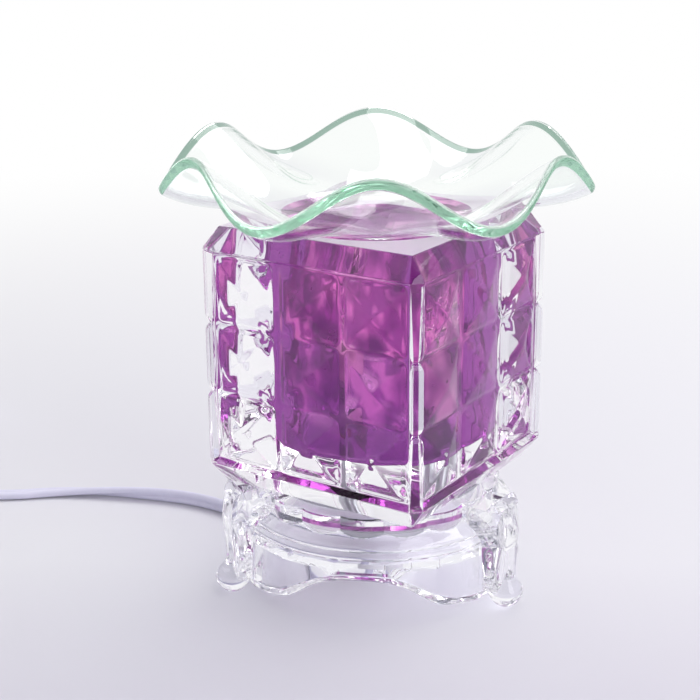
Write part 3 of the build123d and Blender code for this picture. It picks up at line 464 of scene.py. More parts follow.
# Glass block: a square of pressed glass with cut corners. Each face is sunk inside its frame and
# carries blunt pyramids in three rows, and the well for the lamp is lacquered purple inside.
BLOCK_HALF = 41.3
CORNER_LEG = 3.3
CORNER_MERGE = 0.6
CELLS = 3
CELL_HEIGHT = 24.0
GROOVE_WIDTH = 2.0
GROOVE_DEPTH = 2.6
GROOVE_STEP = 0.45
STEP_RUN = 1.0
FRAME_SLOPE = 1.4
HIP_POWER = 16
PYRAMID_FLAT = 1.6
PRESS_STEPS = 132
CORNER_NOTCH = 1.5
NOTCH_PEAK = 1.3
NOTCH_SPREAD = 10
NOTCH_RISE = 3.0
NOTCH_CUTS = (-1.0, -0.7, -0.4, -0.15, 0.0, 0.15, 0.4, 0.7, 1.0)
FOOT_BEVEL = 7.4
FOOT_INSET = 5.5
TOP_BEVEL = 7.1
TOP_INSET = 5.0
BLOCK_LOW = 35.0
GRID_LOW = BLOCK_LOW + FOOT_BEVEL
GRID_TOP = GRID_LOW + CELLS * CELL_HEIGHT
BLOCK_TOP = GRID_TOP + TOP_BEVEL
POLISH_WIDTH = 0.6
POLISH_ANGLE = math.radians(30)
POLISH_STEPS = 3
WELL_RADIUS = 30.0
WELL_FLOOR = BLOCK_LOW + 15.0
WELL_ROUND = 2.5
WELL_STEPS = 8
WELL_SEGMENTS = 128
MOUTH_CHAMFER = 1.5
HOLE_SEGMENTS = 48
HOLE_CUT = 30.0
CUT_OVER = 0.02
TOUCH = 0.01


def pick_faces(obj, wanted):
    """Selects the faces of the mesh in edit mode that a test of centre and normal asks for."""
    bpy.ops.mesh.select_mode(type="FACE")
    mesh = bmesh.from_edit_mesh(obj.data)
    for face in mesh.faces:
        face.select_set(bool(wanted(face.calc_center_median() / MM, face.normal)))
    mesh.select_flush_mode()
    bmesh.update_edit_mesh(obj.data)


def pick_edges(obj, wanted):
    """Selects edges by a test of their two ends, in millimetres."""
    bpy.ops.mesh.select_mode(type="EDGE")
    mesh = bmesh.from_edit_mesh(obj.data)
    for edge in mesh.edges:
        edge.select_set(bool(wanted(edge.verts[0].co / MM, edge.verts[1].co / MM)))
    mesh.select_flush_mode()
    bmesh.update_edit_mesh(obj.data)


def block_from(name, low, high):
    """A cube that is added at its size and place."""
    bpy.ops.object.select_all(action="DESELECT")
    bpy.ops.mesh.primitive_cube_add(size=1.0)
    obj = bpy.context.object
    obj.name = obj.data.name = name
    obj.scale = (Vector(high) - Vector(low)) * MM
    obj.location = (Vector(high) + Vector(low)) / 2 * MM
    bpy.ops.object.transform_apply(location=True, rotation=True, scale=True)
    return obj


def upright(a, b):
    return abs(a.x - b.x) < TOUCH and abs(a.y - b.y) < TOUCH


low_corner, high_corner = (-BLOCK_HALF, -BLOCK_HALF, GRID_LOW), (BLOCK_HALF, BLOCK_HALF, GRID_TOP)
block = block_from("block_glass", low_corner, high_corner)
edit(block)
pick_edges(block, upright)
bpy.ops.mesh.bevel(offset_type="OFFSET", offset=CORNER_LEG * MM, segments=1, affect="EDGES")
pick_faces(block, lambda c, n: n.z > 0.9)
bpy.ops.mesh.inset(thickness=TOP_INSET * MM, depth=(BLOCK_TOP - GRID_TOP) * MM)
pick_faces(block, lambda c, n: n.z < -0.9)
bpy.ops.mesh.inset(thickness=FOOT_INSET * MM, depth=(GRID_LOW - BLOCK_LOW) * MM)
pick_faces(block, lambda c, n: abs(n.z) > 0.9)
bpy.ops.mesh.remove_doubles(threshold=CORNER_MERGE * MM)

# Each face is sunk inside its frame, divided finely and pressed into cells of blunt pyramids
cell_wide = 2 * (BLOCK_HALF - CORNER_LEG - FRAME_SLOPE) / CELLS
cell_tall = (GRID_TOP - GRID_LOW - 2 * FRAME_SLOPE) / CELLS


def pressed(across, up):
    """Height over the sunk ground: a soft step beside the groove, then a flat-topped pyramid."""
    side = abs((across / cell_wide) % 1 - 0.5) * cell_wide
    level = abs((up / cell_tall) % 1 - 0.5) * cell_tall
    out = (side ** HIP_POWER + level ** HIP_POWER) ** (1 / HIP_POWER)
    foot = cell_tall / 2 - GROOVE_WIDTH / 2
    rise = min(max((foot - out) / (foot - PYRAMID_FLAT / 2), 0.0), 1.0)
    step = ease((foot - out) / STEP_RUN + 0.5)
    return GROOVE_STEP * step + (GROOVE_DEPTH - GROOVE_STEP) * rise


def face_side(c, n):
    outside = c.x * n.x + c.y * n.y > BLOCK_HALF - 2 * GROOVE_DEPTH
    return outside and max(abs(n.x), abs(n.y)) > 0.99


pick_faces(block, face_side)
bpy.ops.mesh.inset(thickness=FRAME_SLOPE * MM, depth=-GROOVE_DEPTH * MM, use_individual=True)
bpy.ops.mesh.subdivide(number_cuts=PRESS_STEPS - 1, quadcorner="INNERVERT")
mesh = bmesh.from_edit_mesh(block.data)
for v in mesh.verts:
    x, y, up = v.co.x / MM, v.co.y / MM, v.co.z / MM - GRID_LOW - FRAME_SLOPE
    on_ground = abs(max(abs(x), abs(y)) - (BLOCK_HALF - GROOVE_DEPTH)) < TOUCH
    if on_ground and 0 <= up <= CELLS * cell_tall:
        if abs(x) > abs(y):
            v.co.x += math.copysign(pressed(y + CELLS / 2 * cell_wide, up), x) * MM
        else:
            v.co.y += math.copysign(pressed(x + CELLS / 2 * cell_wide, up), y) * MM
bmesh.update_edit_mesh(block.data)


def corner_strip(c, n):
    slanted = abs(n.z) < 0.1 and abs(abs(n.x) - abs(n.y)) < 0.1
    return slanted and c.x * n.x + c.y * n.y > 0


# The corner strips are rounded back to a notch where each groove between rows runs out
notches = [GRID_LOW + FRAME_SLOPE + cell_tall * k for k in range(1, CELLS)]
for height in notches:
    for share in NOTCH_CUTS:
        pick_faces(block, corner_strip)
        bpy.ops.mesh.bisect(plane_co=(0, 0, (height + share * NOTCH_RISE) * MM), plane_no=(0, 0, 1))
mesh = bmesh.from_edit_mesh(block.data)
for v in mesh.verts:
    x, y = abs(v.co.x / MM), abs(v.co.y / MM)
    off = min(abs(v.co.z / MM - h) for h in notches) / NOTCH_RISE
    if x + y > 2 * BLOCK_HALF - CORNER_LEG - 0.1 and off < 0.99:
        deep = CORNER_NOTCH * (1 - off) ** 2 * NOTCH_PEAK
        shallow = deep / NOTCH_SPREAD
        v.co.x -= math.copysign((deep if x > y else shallow) * MM, v.co.x)
        v.co.y -= math.copysign((shallow if x > y else deep) * MM, v.co.y)
bmesh.update_edit_mesh(block.data)
leave_edit()
soften = block.modifiers.new("soften", "BEVEL")
soften.width = POLISH_WIDTH * MM
soften.segments = POLISH_STEPS
soften.limit_method = "ANGLE"
soften.angle_limit = POLISH_ANGLE
soften.use_clamp_overlap = True
bpy.context.view_layer.objects.active = block
bpy.ops.object.modifier_apply(modifier=soften.name)

# Purple lacquer: transparent dye sprayed on the well's wall, thick in runs, thin between them and
# almost bare on the floor, with painted light that makes it lighter and pinker towards the top. It
# colours the light that comes through the pyramids and glows a little, because light also enters by
# the mouth.
SPRAY_MOTTLE = 9.0
SAG_LENGTH = 15.0
SAG_DEPTH = 0.07
SAG_BOUNDS = (0.45, 0.58)
MOUTH_LIGHT_HEIGHT = 45.0
BARE_HEIGHT = 0.2
LACQUER_IOR = 1.5
FILM_ROUGHNESS = 0.02
FILM_SHARE = 0.82
purple_lacquer, tree = new_material("purple_spray_lacquer")
place = node(tree, "ShaderNodeTexCoord")
cloud = node(
    tree,
    "ShaderNodeTexNoise",
    {"Vector": place.outputs["Object"], "Scale": 1 / (SPRAY_MOTTLE * MM), "Detail": 3.0},
)
spray = node(tree, "ShaderNodeValToRGB", {"Fac": cloud.outputs["Fac"]})
spray_stops = ((0.3, "#8c359a"), (0.7, "#cc66c2"))
for stop, (position, colour) in zip(spray.color_ramp.elements, spray_stops):
    stop.position = position
    stop.color = srgb(colour)
ridges = node(
    tree,
    "ShaderNodeTexNoise",
    {"Vector": place.outputs["Object"], "Scale": 1 / (SAG_LENGTH * MM), "Detail": 1.0},
)
where = node(tree, "ShaderNodeSeparateXYZ", {"Vector": place.outputs["Object"]})
sags = node(
    tree,
    "ShaderNodeBump",
    {"Height": ridges.outputs["Fac"], "Strength": 0.5, "Distance": SAG_DEPTH * MM},
)
# Painted light: the lacquer's colour turns lighter and pinker with height, standing in for the
# light from above on the upper wall
painted_mouth_light = node(
    tree,
    "ShaderNodeMapRange",
    {
        "Value": where.outputs["Z"],
        "From Min": WELL_FLOOR * MM,
        "From Max": (WELL_FLOOR + MOUTH_LIGHT_HEIGHT) * MM,
    },
    interpolation_type="SMOOTHSTEP",
)
streaks = node(
    tree,
    "ShaderNodeMapRange",
    {"Value": ridges.outputs["Fac"], "From Min": SAG_BOUNDS[0], "From Max": SAG_BOUNDS[1]},
)
thick = node(
    tree,
    "ShaderNodeMix",
    {"Factor": painted_mouth_light.outputs["Result"], "A": srgb("#9a4aaa"), "B": srgb("#a0449e")},
    data_type="RGBA",
)
thin = node(
    tree,
    "ShaderNodeMix",
    {"Factor": painted_mouth_light.outputs["Result"], "A": srgb("#e29ade"), "B": srgb("#fab4e6")},
    data_type="RGBA",
)
dye = node(
    tree,
    "ShaderNodeMix",
    {
        "Factor": streaks.outputs["Result"],
        "A": thick.outputs["Result"],
        "B": thin.outputs["Result"],
    },
    data_type="RGBA",
)
coated = node(
    tree,
    "ShaderNodeMapRange",
    {
        "Value": where.outputs["Z"],
        "From Min": (WELL_FLOOR + BARE_HEIGHT) * MM,
        "From Max": (WELL_FLOOR + WELL_ROUND) * MM,
    },
)
dye = node(
    tree,
    "ShaderNodeMix",
    {"Factor": coated.outputs["Result"], "A": srgb("#f0cdee"), "B": dye.outputs["Result"]},
    data_type="RGBA",
)
past = node(
    tree,
    "ShaderNodeBsdfRefraction",
    {
        "Color": dye.outputs["Result"],
        "Roughness": FILM_ROUGHNESS,
        "IOR": LACQUER_IOR,
        "Normal": sags.outputs["Normal"],
    },
)
back = node(
    tree,
    "ShaderNodeBsdfGlossy",
    {"Color": srgb("#a04aa6"), "Roughness": FILM_ROUGHNESS, "Normal": sags.outputs["Normal"]},
)
turned = node(tree, "ShaderNodeFresnel", {"IOR": LACQUER_IOR, "Normal": sags.outputs["Normal"]})
stain = node(
    tree,
    "ShaderNodeMixShader",
    {0: turned.outputs[0], 1: past.outputs[0], 2: back.outputs[0]},
)
lacquer = node(
    tree,
    "ShaderNodeBsdfPrincipled",
    {
        "Base Color": spray.outputs["Color"],
        "Roughness": 0.3,
        "IOR": LACQUER_IOR,
        "Normal": sags.outputs["Normal"],
    },
)
glow = node(tree, "ShaderNodeBsdfTranslucent", {"Color": spray.outputs["Color"]})
body = node(tree, "ShaderNodeMixShader", {0: 0.5, 1: lacquer.outputs[0], 2: glow.outputs[0]})
film = node(tree, "ShaderNodeMixShader", {0: FILM_SHARE, 1: body.outputs[0], 2: stain.outputs[0]})
finish_material(tree, film, through="#d9cfdc")

well_line = []
for k in range(WELL_STEPS + 1):
    around = math.pi / 2 * k / WELL_STEPS
    radius = WELL_RADIUS - WELL_ROUND * (1 - math.sin(around))
    well_line.append(round_ring(radius, WELL_FLOOR + WELL_ROUND * (1 - math.cos(around))))
well_line.append(round_ring(WELL_RADIUS, BLOCK_TOP - MOUTH_CHAMFER))
well_line.append(round_ring(WELL_RADIUS + MOUTH_CHAMFER + CUT_OVER, BLOCK_TOP + CUT_OVER))
well = grow("well", WELL_SEGMENTS, well_line, "cap")
well.data.materials.append(purple_lacquer)
block.data.materials.append(pressed_glass)
apply_boolean(block, well, "DIFFERENCE")
bpy.ops.object.select_all(action="DESELECT")
bpy.ops.mesh.primitive_cylinder_add(
    vertices=HOLE_SEGMENTS,
    radius=PIPE_HOLE * MM,
    depth=HOLE_CUT * MM,
    location=(0, 0, WELL_FLOOR * MM),
)
hole = bpy.context.object
bpy.ops.object.transform_apply(location=True, rotation=True, scale=True)
hole.data.materials.append(pressed_glass)
apply_boolean(block, hole, "DIFFERENCE")

# Ground glass: the rim that the dish rests on is ground flat, so it looks frosted and pale
ground_rim = clear_finish(
    "ground_glass_rim",
    "#e8e0eb",
    "#ece6ee",
    0.4,
    0.4,
    0.02,
    ior=1.5,
    roughness=0.45,
    detail=2.0,
    clarity=0.6,
)
block.data.materials.append(ground_rim)
for face in block.data.polygons:
    if face.center.z > (BLOCK_TOP - TOUCH) * MM and face.normal.z > 0.9:
        face.material_index = len(block.data.materials) - 1
smooth(block, 12)


def in_pattern(point):
    """Whether a point is on the pressed part of a face."""
    far, near = max(abs(point.x), abs(point.y)), min(abs(point.x), abs(point.y))
    off_middle = abs(point.z - (GRID_LOW + GRID_TOP) / 2)
    beside = near < CELLS / 2 * cell_wide + TOUCH and off_middle < CELLS / 2 * cell_tall + TOUCH
    return beside and far > BLOCK_HALF - GROOVE_DEPTH - TOUCH


# The pressed facets run softly into each other, so no edge among them is sharp
edit(block)
pick_edges(block, lambda a, b: in_pattern(a) and in_pattern(b))
bpy.ops.mesh.mark_sharp(clear=True)
leave_edit()
dress(block, "stand", "lacquered_glass", "glass_body")

# Lamp hardware: a zinc-plated hollow rod with its nuts, washers and saddle clamps block and base
# together. The washers that meet glass are rubber below and pressed fibre above.
def plain_finish(name, colour, other, grain_mm, roughness, metallic=0.0, depth_mm=0.02, ior=1.5):
    """A material with a fine mottle between two colours and a slight grain in its surface."""
    made, tree = new_material(name)
    place = node(tree, "ShaderNodeTexCoord")
    inputs = {"Vector": place.outputs["Object"], "Scale": 1 / (grain_mm * MM), "Detail": 3.0}
    grain = node(tree, "ShaderNodeTexNoise", inputs)
    mottle = node(
        tree,
        "ShaderNodeMix",
        {"Factor": grain.outputs["Fac"], "A": srgb(colour), "B": srgb(other)},
        data_type="RGBA",
    )
    inputs = {"Height": grain.outputs["Fac"], "Strength": 0.4, "Distance": depth_mm * MM}
    bump = node(tree, "ShaderNodeBump", inputs)
    inputs = {
        "Base Color": mottle.outputs["Result"],
        "Roughness": roughness,
        "Metallic": metallic,
        "Normal": bump.outputs["Normal"],
    }
    if not metallic:
        inputs["IOR"] = ior
    finish_material(tree, node(tree, "ShaderNodeBsdfPrincipled", inputs))
    return made


# Zinc plate is a cool satin silver with a faint cloud in it. Rubber, fibre and nylon are matt, each
# with the fine even grain of its mould or press.
zinc = plain_finish("zinc_plated_steel", "#c9cbcf", "#b7babf", 1.2, 0.32, metallic=1.0)
paint(zinc, "threaded_pipe", "steel_washer", "base_nut", "holder_saddle", "saddle_locknut")
paint(zinc, "holder_screws", "dimmer_screws")
paint(plain_finish("pale_rubber", "#dcdcdf", "#d2d2d6", 0.6, 0.7), "rubber_washer")
paint(plain_finish("pressed_fibre", "#d3c3a6", "#c4b393", 0.5, 0.85), "fibre_washer")
paint(plain_finish("white_nylon", "#f1f1f3", "#e9e9ec", 0.9, 0.45), "pipe_bushing")

# Lamp holder: a glazed steatite block with bright contact springs and silicone-sleeved leads. The
# glaze is creamy and smooth, the spring sheet shines and the sleeves are a dull white.
paint(plain_finish("glazed_steatite", "#f3f0e8", "#ebe7dc", 1.5, 0.22, ior=1.55), "lamp_holder")
spring_sheet = plain_finish("bright_spring_sheet", "#bdbdbb", "#b0b0ae", 0.8, 0.28, metallic=1.0)
paint(spring_sheet, "contact_springs")
paint(plain_finish("silicone_sleeve", "#f4f4f4", "#ececec", 0.7, 0.5), "lead_wires")

# Halogen capsule: clear quartz pinched flat on two pins, with a coiled filament inside. Drawn
# quartz is smoother than pressed glass and bends light less, and the nickel wire is a warm silver.
quartz = clear_finish("fused_quartz", "#fcfdfd", "#f8f8f8", 5.0, 0.2, 0.1, ior=1.46, roughness=0.01)
paint(quartz, "bulb_glass")
nickel_wire = plain_finish("nickel_wire", "#b9b6b0", "#aaa7a1", 0.5, 0.3, metallic=1.0)
paint(nickel_wire, "bulb_pins", "bulb_filament")

# Lead: flat twin flex in pale lavender-white PVC, two cores side by side with a groove between.
# It stands on edge where it comes out under the arch, and rolls over to lie flat further on.
CORE_RADIUS = 1.35
CORE_OFFSET = 1.35
CORE_ARC = 276
CORE_STEPS = 12
CORD_FLAT = 1.45
CORD_TAIL = 4.0
LEAD_HEIGHT = 4.3
LEAD_STEPS = 14
RELIEF_LENGTH = 20.0
DIMMER_WALL = 1.8
DIMMER_APPROACH = 15.0
DIMMER_HEADING = math.radians(135.0)
ROLL_LEAN = math.radians(80)
ROLL_UP_FROM = -12.0
ROLL_UP_RUN = 28.0
ROLL_DOWN_FROM = -88.0
ROLL_DOWN_RUN = 55.0
PIPE_SIDE = -20.0
UP = Vector((0, 0, 1))
heading = Vector((math.cos(DIMMER_HEADING), math.sin(DIMMER_HEADING), 0.0))
aside = Vector((-heading.y, heading.x, 0.0))
lead_points = [
    (0.0, 0.0, 22.2),
    (0.0, 0.0, CORD_FLAT),
    (-26.0, -1.0, CORD_FLAT),
    (-54.0, 2.0, CORD_FLAT),
    (-81.0, 5.0, CORD_FLAT),
    (-108.0, -4.0, CORD_FLAT),
    (-132.0, -15.0, CORD_FLAT),
    (-150.5, -33.0, CORD_FLAT),
    (-173.0, -39.5, CORD_FLAT + 0.4),
    (-195.0, -31.0, CORD_FLAT + 1.6),
]
dimmer_tip = Vector((*lead_points[-1][:2], LEAD_HEIGHT)) + heading * DIMMER_APPROACH
lead_points.append(tuple(dimmer_tip))
lead_points.append(tuple(dimmer_tip + heading * (RELIEF_LENGTH + DIMMER_WALL + CORD_TAIL)))


def smooth_line(points, resolution):
    """Points along the smooth line of a route, from a NURBS spline with the route's own points."""
    curve = bpy.data.curves.new("route", "CURVE")
    curve.dimensions = "3D"
    spline = curve.splines.new("NURBS")
    spline.points.add(len(points) - 1)
    for target, point in zip(spline.points, points):
        target.co = (point[0] * MM, point[1] * MM, point[2] * MM, 1.0)
    spline.order_u = 3
    spline.use_endpoint_u = True
    spline.resolution_u = resolution
    guide = bpy.data.objects.new("route", curve)
    scene.collection.objects.link(guide)
    bpy.context.view_layer.update()
    shown = guide.evaluated_get(bpy.context.evaluated_depsgraph_get())
    line = bpy.data.meshes.new_from_object(shown)
    found = [v.co.copy() for v in line.vertices]
    bpy.data.objects.remove(guide, do_unlink=True)
    bpy.data.meshes.remove(line)
    return found


def way_at(line, k):
    """The way a line runs at one of its points."""
    return (line[min(k + 1, len(line) - 1)] - line[max(k - 1, 0)]).normalized()


def twin_section():
    """The flex's outline: most of two circles, which leave a groove on each flat side."""
    spots = []
    for side in (1, -1):
        for k in range(CORE_STEPS + 1):
            a = math.radians(-CORE_ARC / 2 + CORE_ARC * k / CORE_STEPS)
            across, up = CORE_OFFSET + CORE_RADIUS * math.cos(a), CORE_RADIUS * math.sin(a)
            spots.append((side * across, side * up))
    return spots


def flex(name, line, wide_ways):
    """Skins the flex along a line, with its wide way given at each point."""
    outline = twin_section()
    verts, faces = [], []
    for k, spot in enumerate(line):
        ahead = way_at(line, k)
        wide = (wide_ways[k] - ahead * wide_ways[k].dot(ahead)).normalized()
        thick = ahead.cross(wide)
        verts += [spot + (wide * x + thick * y) * MM for x, y in outline]
    count = len(outline)
    for k in range(len(line) - 1):
        for j in range(count):
            a, b = k * count + j, k * count + (j + 1) % count
            faces.append((a, b, b + count, a + count))
    faces.append(tuple(range(count))[::-1])
    faces.append(tuple(range(len(verts) - count, len(verts))))
    skin = bpy.data.meshes.new(name)
    skin.from_pydata(verts, [], faces)
    obj = bpy.data.objects.new(name, skin)
    scene.collection.objects.link(obj)
    edit(obj)
    bpy.ops.mesh.select_all(action="SELECT")
    bpy.ops.mesh.normals_make_consistent(inside=False)
    leave_edit()
    smooth(obj, 50)
    return obj


def on_edge(x):
    """How far the flex has rolled up on its edge at a place: 0 is flat and 1 is upright."""
    up = ease((ROLL_UP_FROM - x) / ROLL_UP_RUN)
    down = ease((ROLL_DOWN_FROM - x) / ROLL_DOWN_RUN)
    return up * (1 - down)


lead_line, lead_ways = [], []
for spot in smooth_line(lead_points, LEAD_STEPS):
    rolled = on_edge(spot.x / MM) * ROLL_LEAN
    lead_line.append(spot + Vector((0, 0, CORE_OFFSET * math.sin(rolled) * MM)))
for k, spot in enumerate(lead_line):
    ahead = way_at(lead_line, k)
    level = UP.cross(ahead)
    level = Vector((0, -1, 0)) if level.length < 0.2 else level.normalized()
    if level.y > 0 and spot.x > PIPE_SIDE * MM:
        level = -level
    rolled = on_edge(spot.x / MM) * ROLL_LEAN
    lead_ways.append(Quaternion(ahead, rolled) @ level)
lead = flex("lead_flex", lead_line, lead_ways)

# Extruded PVC: satin and a little cloudy, with a faint orange-peel skin
flex_pvc = plain_finish("lavender_white_pvc", "#dedcee", "#d5d3e8", 2.5, 0.42, depth_mm=0.03)
lead.data.materials.append(flex_pvc)
dress(lead, "stand", "flex_pvc", "cord")

# Put-away lead: the rest of the flex wound on edge in two layers of loops, which spiral in, climb
# once and spiral out again, held by a nylon tie.
COIL_RADIUS = 30.6
COIL_PITCH = 3.25
HALF_TURNS = 6
COIL_LAYER = 5.95
COIL_STEPS = 5
COIL_RUN_IN = 9.0
COIL_RUN_OUT = 8.0
RELIEF_MIDDLE = 22.0
PLUG_RELIEF_MIDDLE = 11.0
DIMMER_LENGTH = 48.0
POINTS_PER_HALF = 10
radii = [COIL_RADIUS - COIL_PITCH / 2 * k for k in range(HALF_TURNS + 1)]
radii += radii[-2::-1]
coil_start = dimmer_tip + heading * (2 * RELIEF_LENGTH + DIMMER_LENGTH + COIL_RUN_IN)
coil_inside = RELIEF_LENGTH + DIMMER_WALL + CORD_TAIL + COIL_RUN_IN
coil_points = [coil_start - heading * d for d in (coil_inside, RELIEF_MIDDLE, COIL_RUN_IN)]
spot, ahead, inward = coil_start, heading, aside
bulge = 1 / math.cos(math.pi / POINTS_PER_HALF / 2)
for k, radius in enumerate(radii):
    climb = COIL_LAYER if k == HALF_TURNS else 0.0
    centre = spot + inward * radius
    for j in range(POINTS_PER_HALF):
        a = math.pi * (j + 0.5) / POINTS_PER_HALF
        across, along = radius * bulge * math.cos(a), radius * bulge * math.sin(a)
        rise = Vector((0, 0, climb * (1 - math.cos(a)) / 2))
        coil_points.append(centre - inward * across + ahead * along + rise)
    spot = spot + inward * (2 * radius) + Vector((0, 0, climb))
    ahead, inward = -ahead, -inward
coil_end = spot - heading * COIL_RUN_OUT
plug_inside = RELIEF_LENGTH + CORD_TAIL
coil_points += [coil_end - heading * d for d in (0.0, PLUG_RELIEF_MIDDLE, plug_inside)]
coil_line = smooth_line([tuple(p) for p in coil_points], COIL_STEPS)
lean = math.atan2(COIL_LAYER, 2 * radii[HALF_TURNS])
coil_ways = []
for k, spot in enumerate(coil_line):
    climbed = min(max((spot.z / MM - LEAD_HEIGHT) / COIL_LAYER, 0.0), 1.0)
    left = UP.cross(way_at(coil_line, k)).normalized()
    tilt = lean * (2 * climbed - 1)
    coil_ways.append(UP * math.cos(tilt) + left * math.sin(tilt))
coil = flex("coil_flex", coil_line, coil_ways)
coil.data.materials.append(flex_pvc)
dress(coil, "stand", "flex_pvc", "cord_coil")
paint(plain_finish("white_nylon_strap", "#f0f0f3", "#e6e6ea", 0.6, 0.5), "coil_tie")

# In-line dimmer: a two-part case in the lead's colour, with a smooth dial on top. The ABS case is
# satin from its mould and the dial is polished. The plug is moulded on in the lead's own PVC, and
# its nickel-plated blades are a warm bright metal.
case_abs = plain_finish("satin_abs", "#e6e4f1", "#dfddec", 0.5, 0.5, depth_mm=0.03)
paint(case_abs, "dimmer_tray", "dimmer_cover")
paint(plain_finish("polished_abs", "#f0eff6", "#eae9f2", 2.0, 0.25), "dimmer_knob")
paint(plain_finish("phenolic_board", "#b58a4c", "#a67c41", 0.6, 0.6), "dimmer_board")
paint(plain_finish("black_phenolic", "#2a2a2c", "#222224", 0.8, 0.4), "dimmer_pot")
paint(flex_pvc, "dimmer_reliefs", "plug_relief", "plug_body")
blade_metal = plain_finish("nickel_plated_brass", "#cfc8b4", "#c3bba6", 1.0, 0.28, metallic=1.0)
paint(blade_metal, "plug_blades")

# Dish: a disc of float glass slumped into six waves over a mould, its edge ground and then
# fire-polished. The clear glass shows its iron green only along the edge.
DISH_GLASS = 3.0
DISH_RADIUS = 66.6
DISH_SEGMENTS = 240
DISH_REST_GAP = 0.35
WAVES = 6
DISH_TURN = math.radians(3.0)
RIM_WAVE = 2.9
RIM_STEPS = 10
RUFFLE_HEIGHT = 8.6
RUFFLE_START = 30.0
BOWL_SLOPE = 0.465
BOWL_ROUND = 8.0
SHEET_START = 0.02
SHEET_RINGS = 44
EDGE_BAND = 1.2
EDGE_FACING = 0.4


def bowl_rise(radius):
    """Height of the bowl over its lowest point, without the waves."""
    return math.hypot(BOWL_SLOPE * radius, BOWL_ROUND) - BOWL_ROUND


dish_floor = BLOCK_TOP + DISH_REST_GAP - bowl_rise(WELL_RADIUS + MOUTH_CHAMFER)


def wave(angle):
    return math.cos(WAVES * (angle - DISH_TURN))


def slump(radius, angle):
    """Height of the dish's underside."""
    ruffle = RUFFLE_HEIGHT * ease((radius - RUFFLE_START) / (DISH_RADIUS - RUFFLE_START))
    return dish_floor + bowl_rise(radius) + ruffle * wave(angle)


def top_height(radius, angle):
    """The underside raised by the glass, measured square to the sheet."""
    step = 0.05
    out = (slump(radius + step, angle) - slump(radius - step, angle)) / (2 * step)
    turn = step / max(radius, 1.0)
    round_ = (slump(radius, angle + turn) - slump(radius, angle - turn)) / (2 * step)
    return slump(radius, angle) + DISH_GLASS * math.sqrt(1 + out * out + round_ * round_)


def rim_radius(angle):
    return DISH_RADIUS - RIM_WAVE * wave(angle)


def blended_ring(share, height):
    """A ring at a share of the way out, round near the middle and lobed at the rim."""
    def shape(a):
        lobed = share ** 3
        radius = share * (DISH_RADIUS * (1 - lobed) + rim_radius(a) * lobed)
        return radius, height(radius, a)
    return free_ring(shape)


def rim_ring(around):
    """A ring on the rounded edge, from -90 degrees at the underside to 90 on top."""
    def shape(a):
        radius = rim_radius(a) - DISH_GLASS / 2 * (1 - math.cos(around))
        up = (1 + math.sin(around)) / 2
        return radius, slump(radius, a) * (1 - up) + top_height(radius, a) * up
    return free_ring(shape)


shares = [SHEET_START + (1 - SHEET_START) * k / SHEET_RINGS for k in range(SHEET_RINGS)]
dish_rings = [blended_ring(s, slump) for s in shares]
dish_rings += [rim_ring(math.radians(-90 + 180 * k / RIM_STEPS)) for k in range(RIM_STEPS + 1)]
dish_rings += [blended_ring(s, top_height) for s in reversed(shares)]
dish = grow("dish_glass", DISH_SEGMENTS, dish_rings, "cap")

# Float glass: even and bright, with slow waves from its slumping. Its iron shows along the ground
# edge, which is finely frosted under the fire polish.
float_glass = clear_finish(
    "slumped_float_glass",
    "#fafdfb",
    "#f6faf7",
    22.0,
    0.2,
    0.2,
    ior=1.52,
    roughness=0.005,
    tint=("#89c2a7", 1.0),
)
green_edge = clear_finish(
    "ground_float_edge",
    "#b4dac6",
    "#dcefe4",
    1.5,
    0.3,
    0.05,
    ior=1.12,
    roughness=0.06,
    detail=2.0,
    tint=("#89c2a7", 3.0),
)
dish.data.materials.append(float_glass)
dish.data.materials.append(green_edge)
for face in dish.data.polygons:
    angle = math.atan2(face.center.y, face.center.x)
    far = math.hypot(face.center.x, face.center.y) / MM
    if far > rim_radius(angle) - EDGE_BAND and face.normal.z < EDGE_FACING:
        face.material_index = 1
smooth(dish, 60)
dress(dish, "dish", "float_glass", "glass_dish")

# Studio: a pale lavender paper sweep with painted shade that greys it towards the camera, in a
# white surround. One large soft light is above and one at the side. The room is darker on the front
# side, which gives the glass its dark reflections.
FLOOR_SIZE = 6.0
FLOOR_DROP = 0.0002
bpy.ops.object.select_all(action="DESELECT")
bpy.ops.mesh.primitive_plane_add(size=FLOOR_SIZE, location=(0, 0, -FLOOR_DROP))
floor = bpy.context.object
floor.name = "floor"


def seen_rays(tree):
    """Light paths, and whether one shows a surface: straight on, in gloss or through glass."""
    paths = node(tree, "ShaderNodeLightPath")
    inputs = {0: paths.outputs["Is Camera Ray"], 1: paths.outputs["Is Glossy Ray"]}
    seen = node(tree, "ShaderNodeMath", inputs, operation="MAXIMUM")
    inputs = {0: seen.outputs[0], 1: paths.outputs["Is Transmission Ray"]}
    return paths, node(tree, "ShaderNodeMath", inputs, operation="MAXIMUM")


def towards(tree, place, way, start, end):
    """How far a place lies in a direction, as a share that runs from 0 at start to 1 at end."""
    along = node(tree, "ShaderNodeVectorMath", {0: place, 1: way}, operation="DOT_PRODUCT")
    inputs = {"Value": along.outputs["Value"], "From Min": start, "From Max": end}
    return node(tree, "ShaderNodeMapRange", inputs)
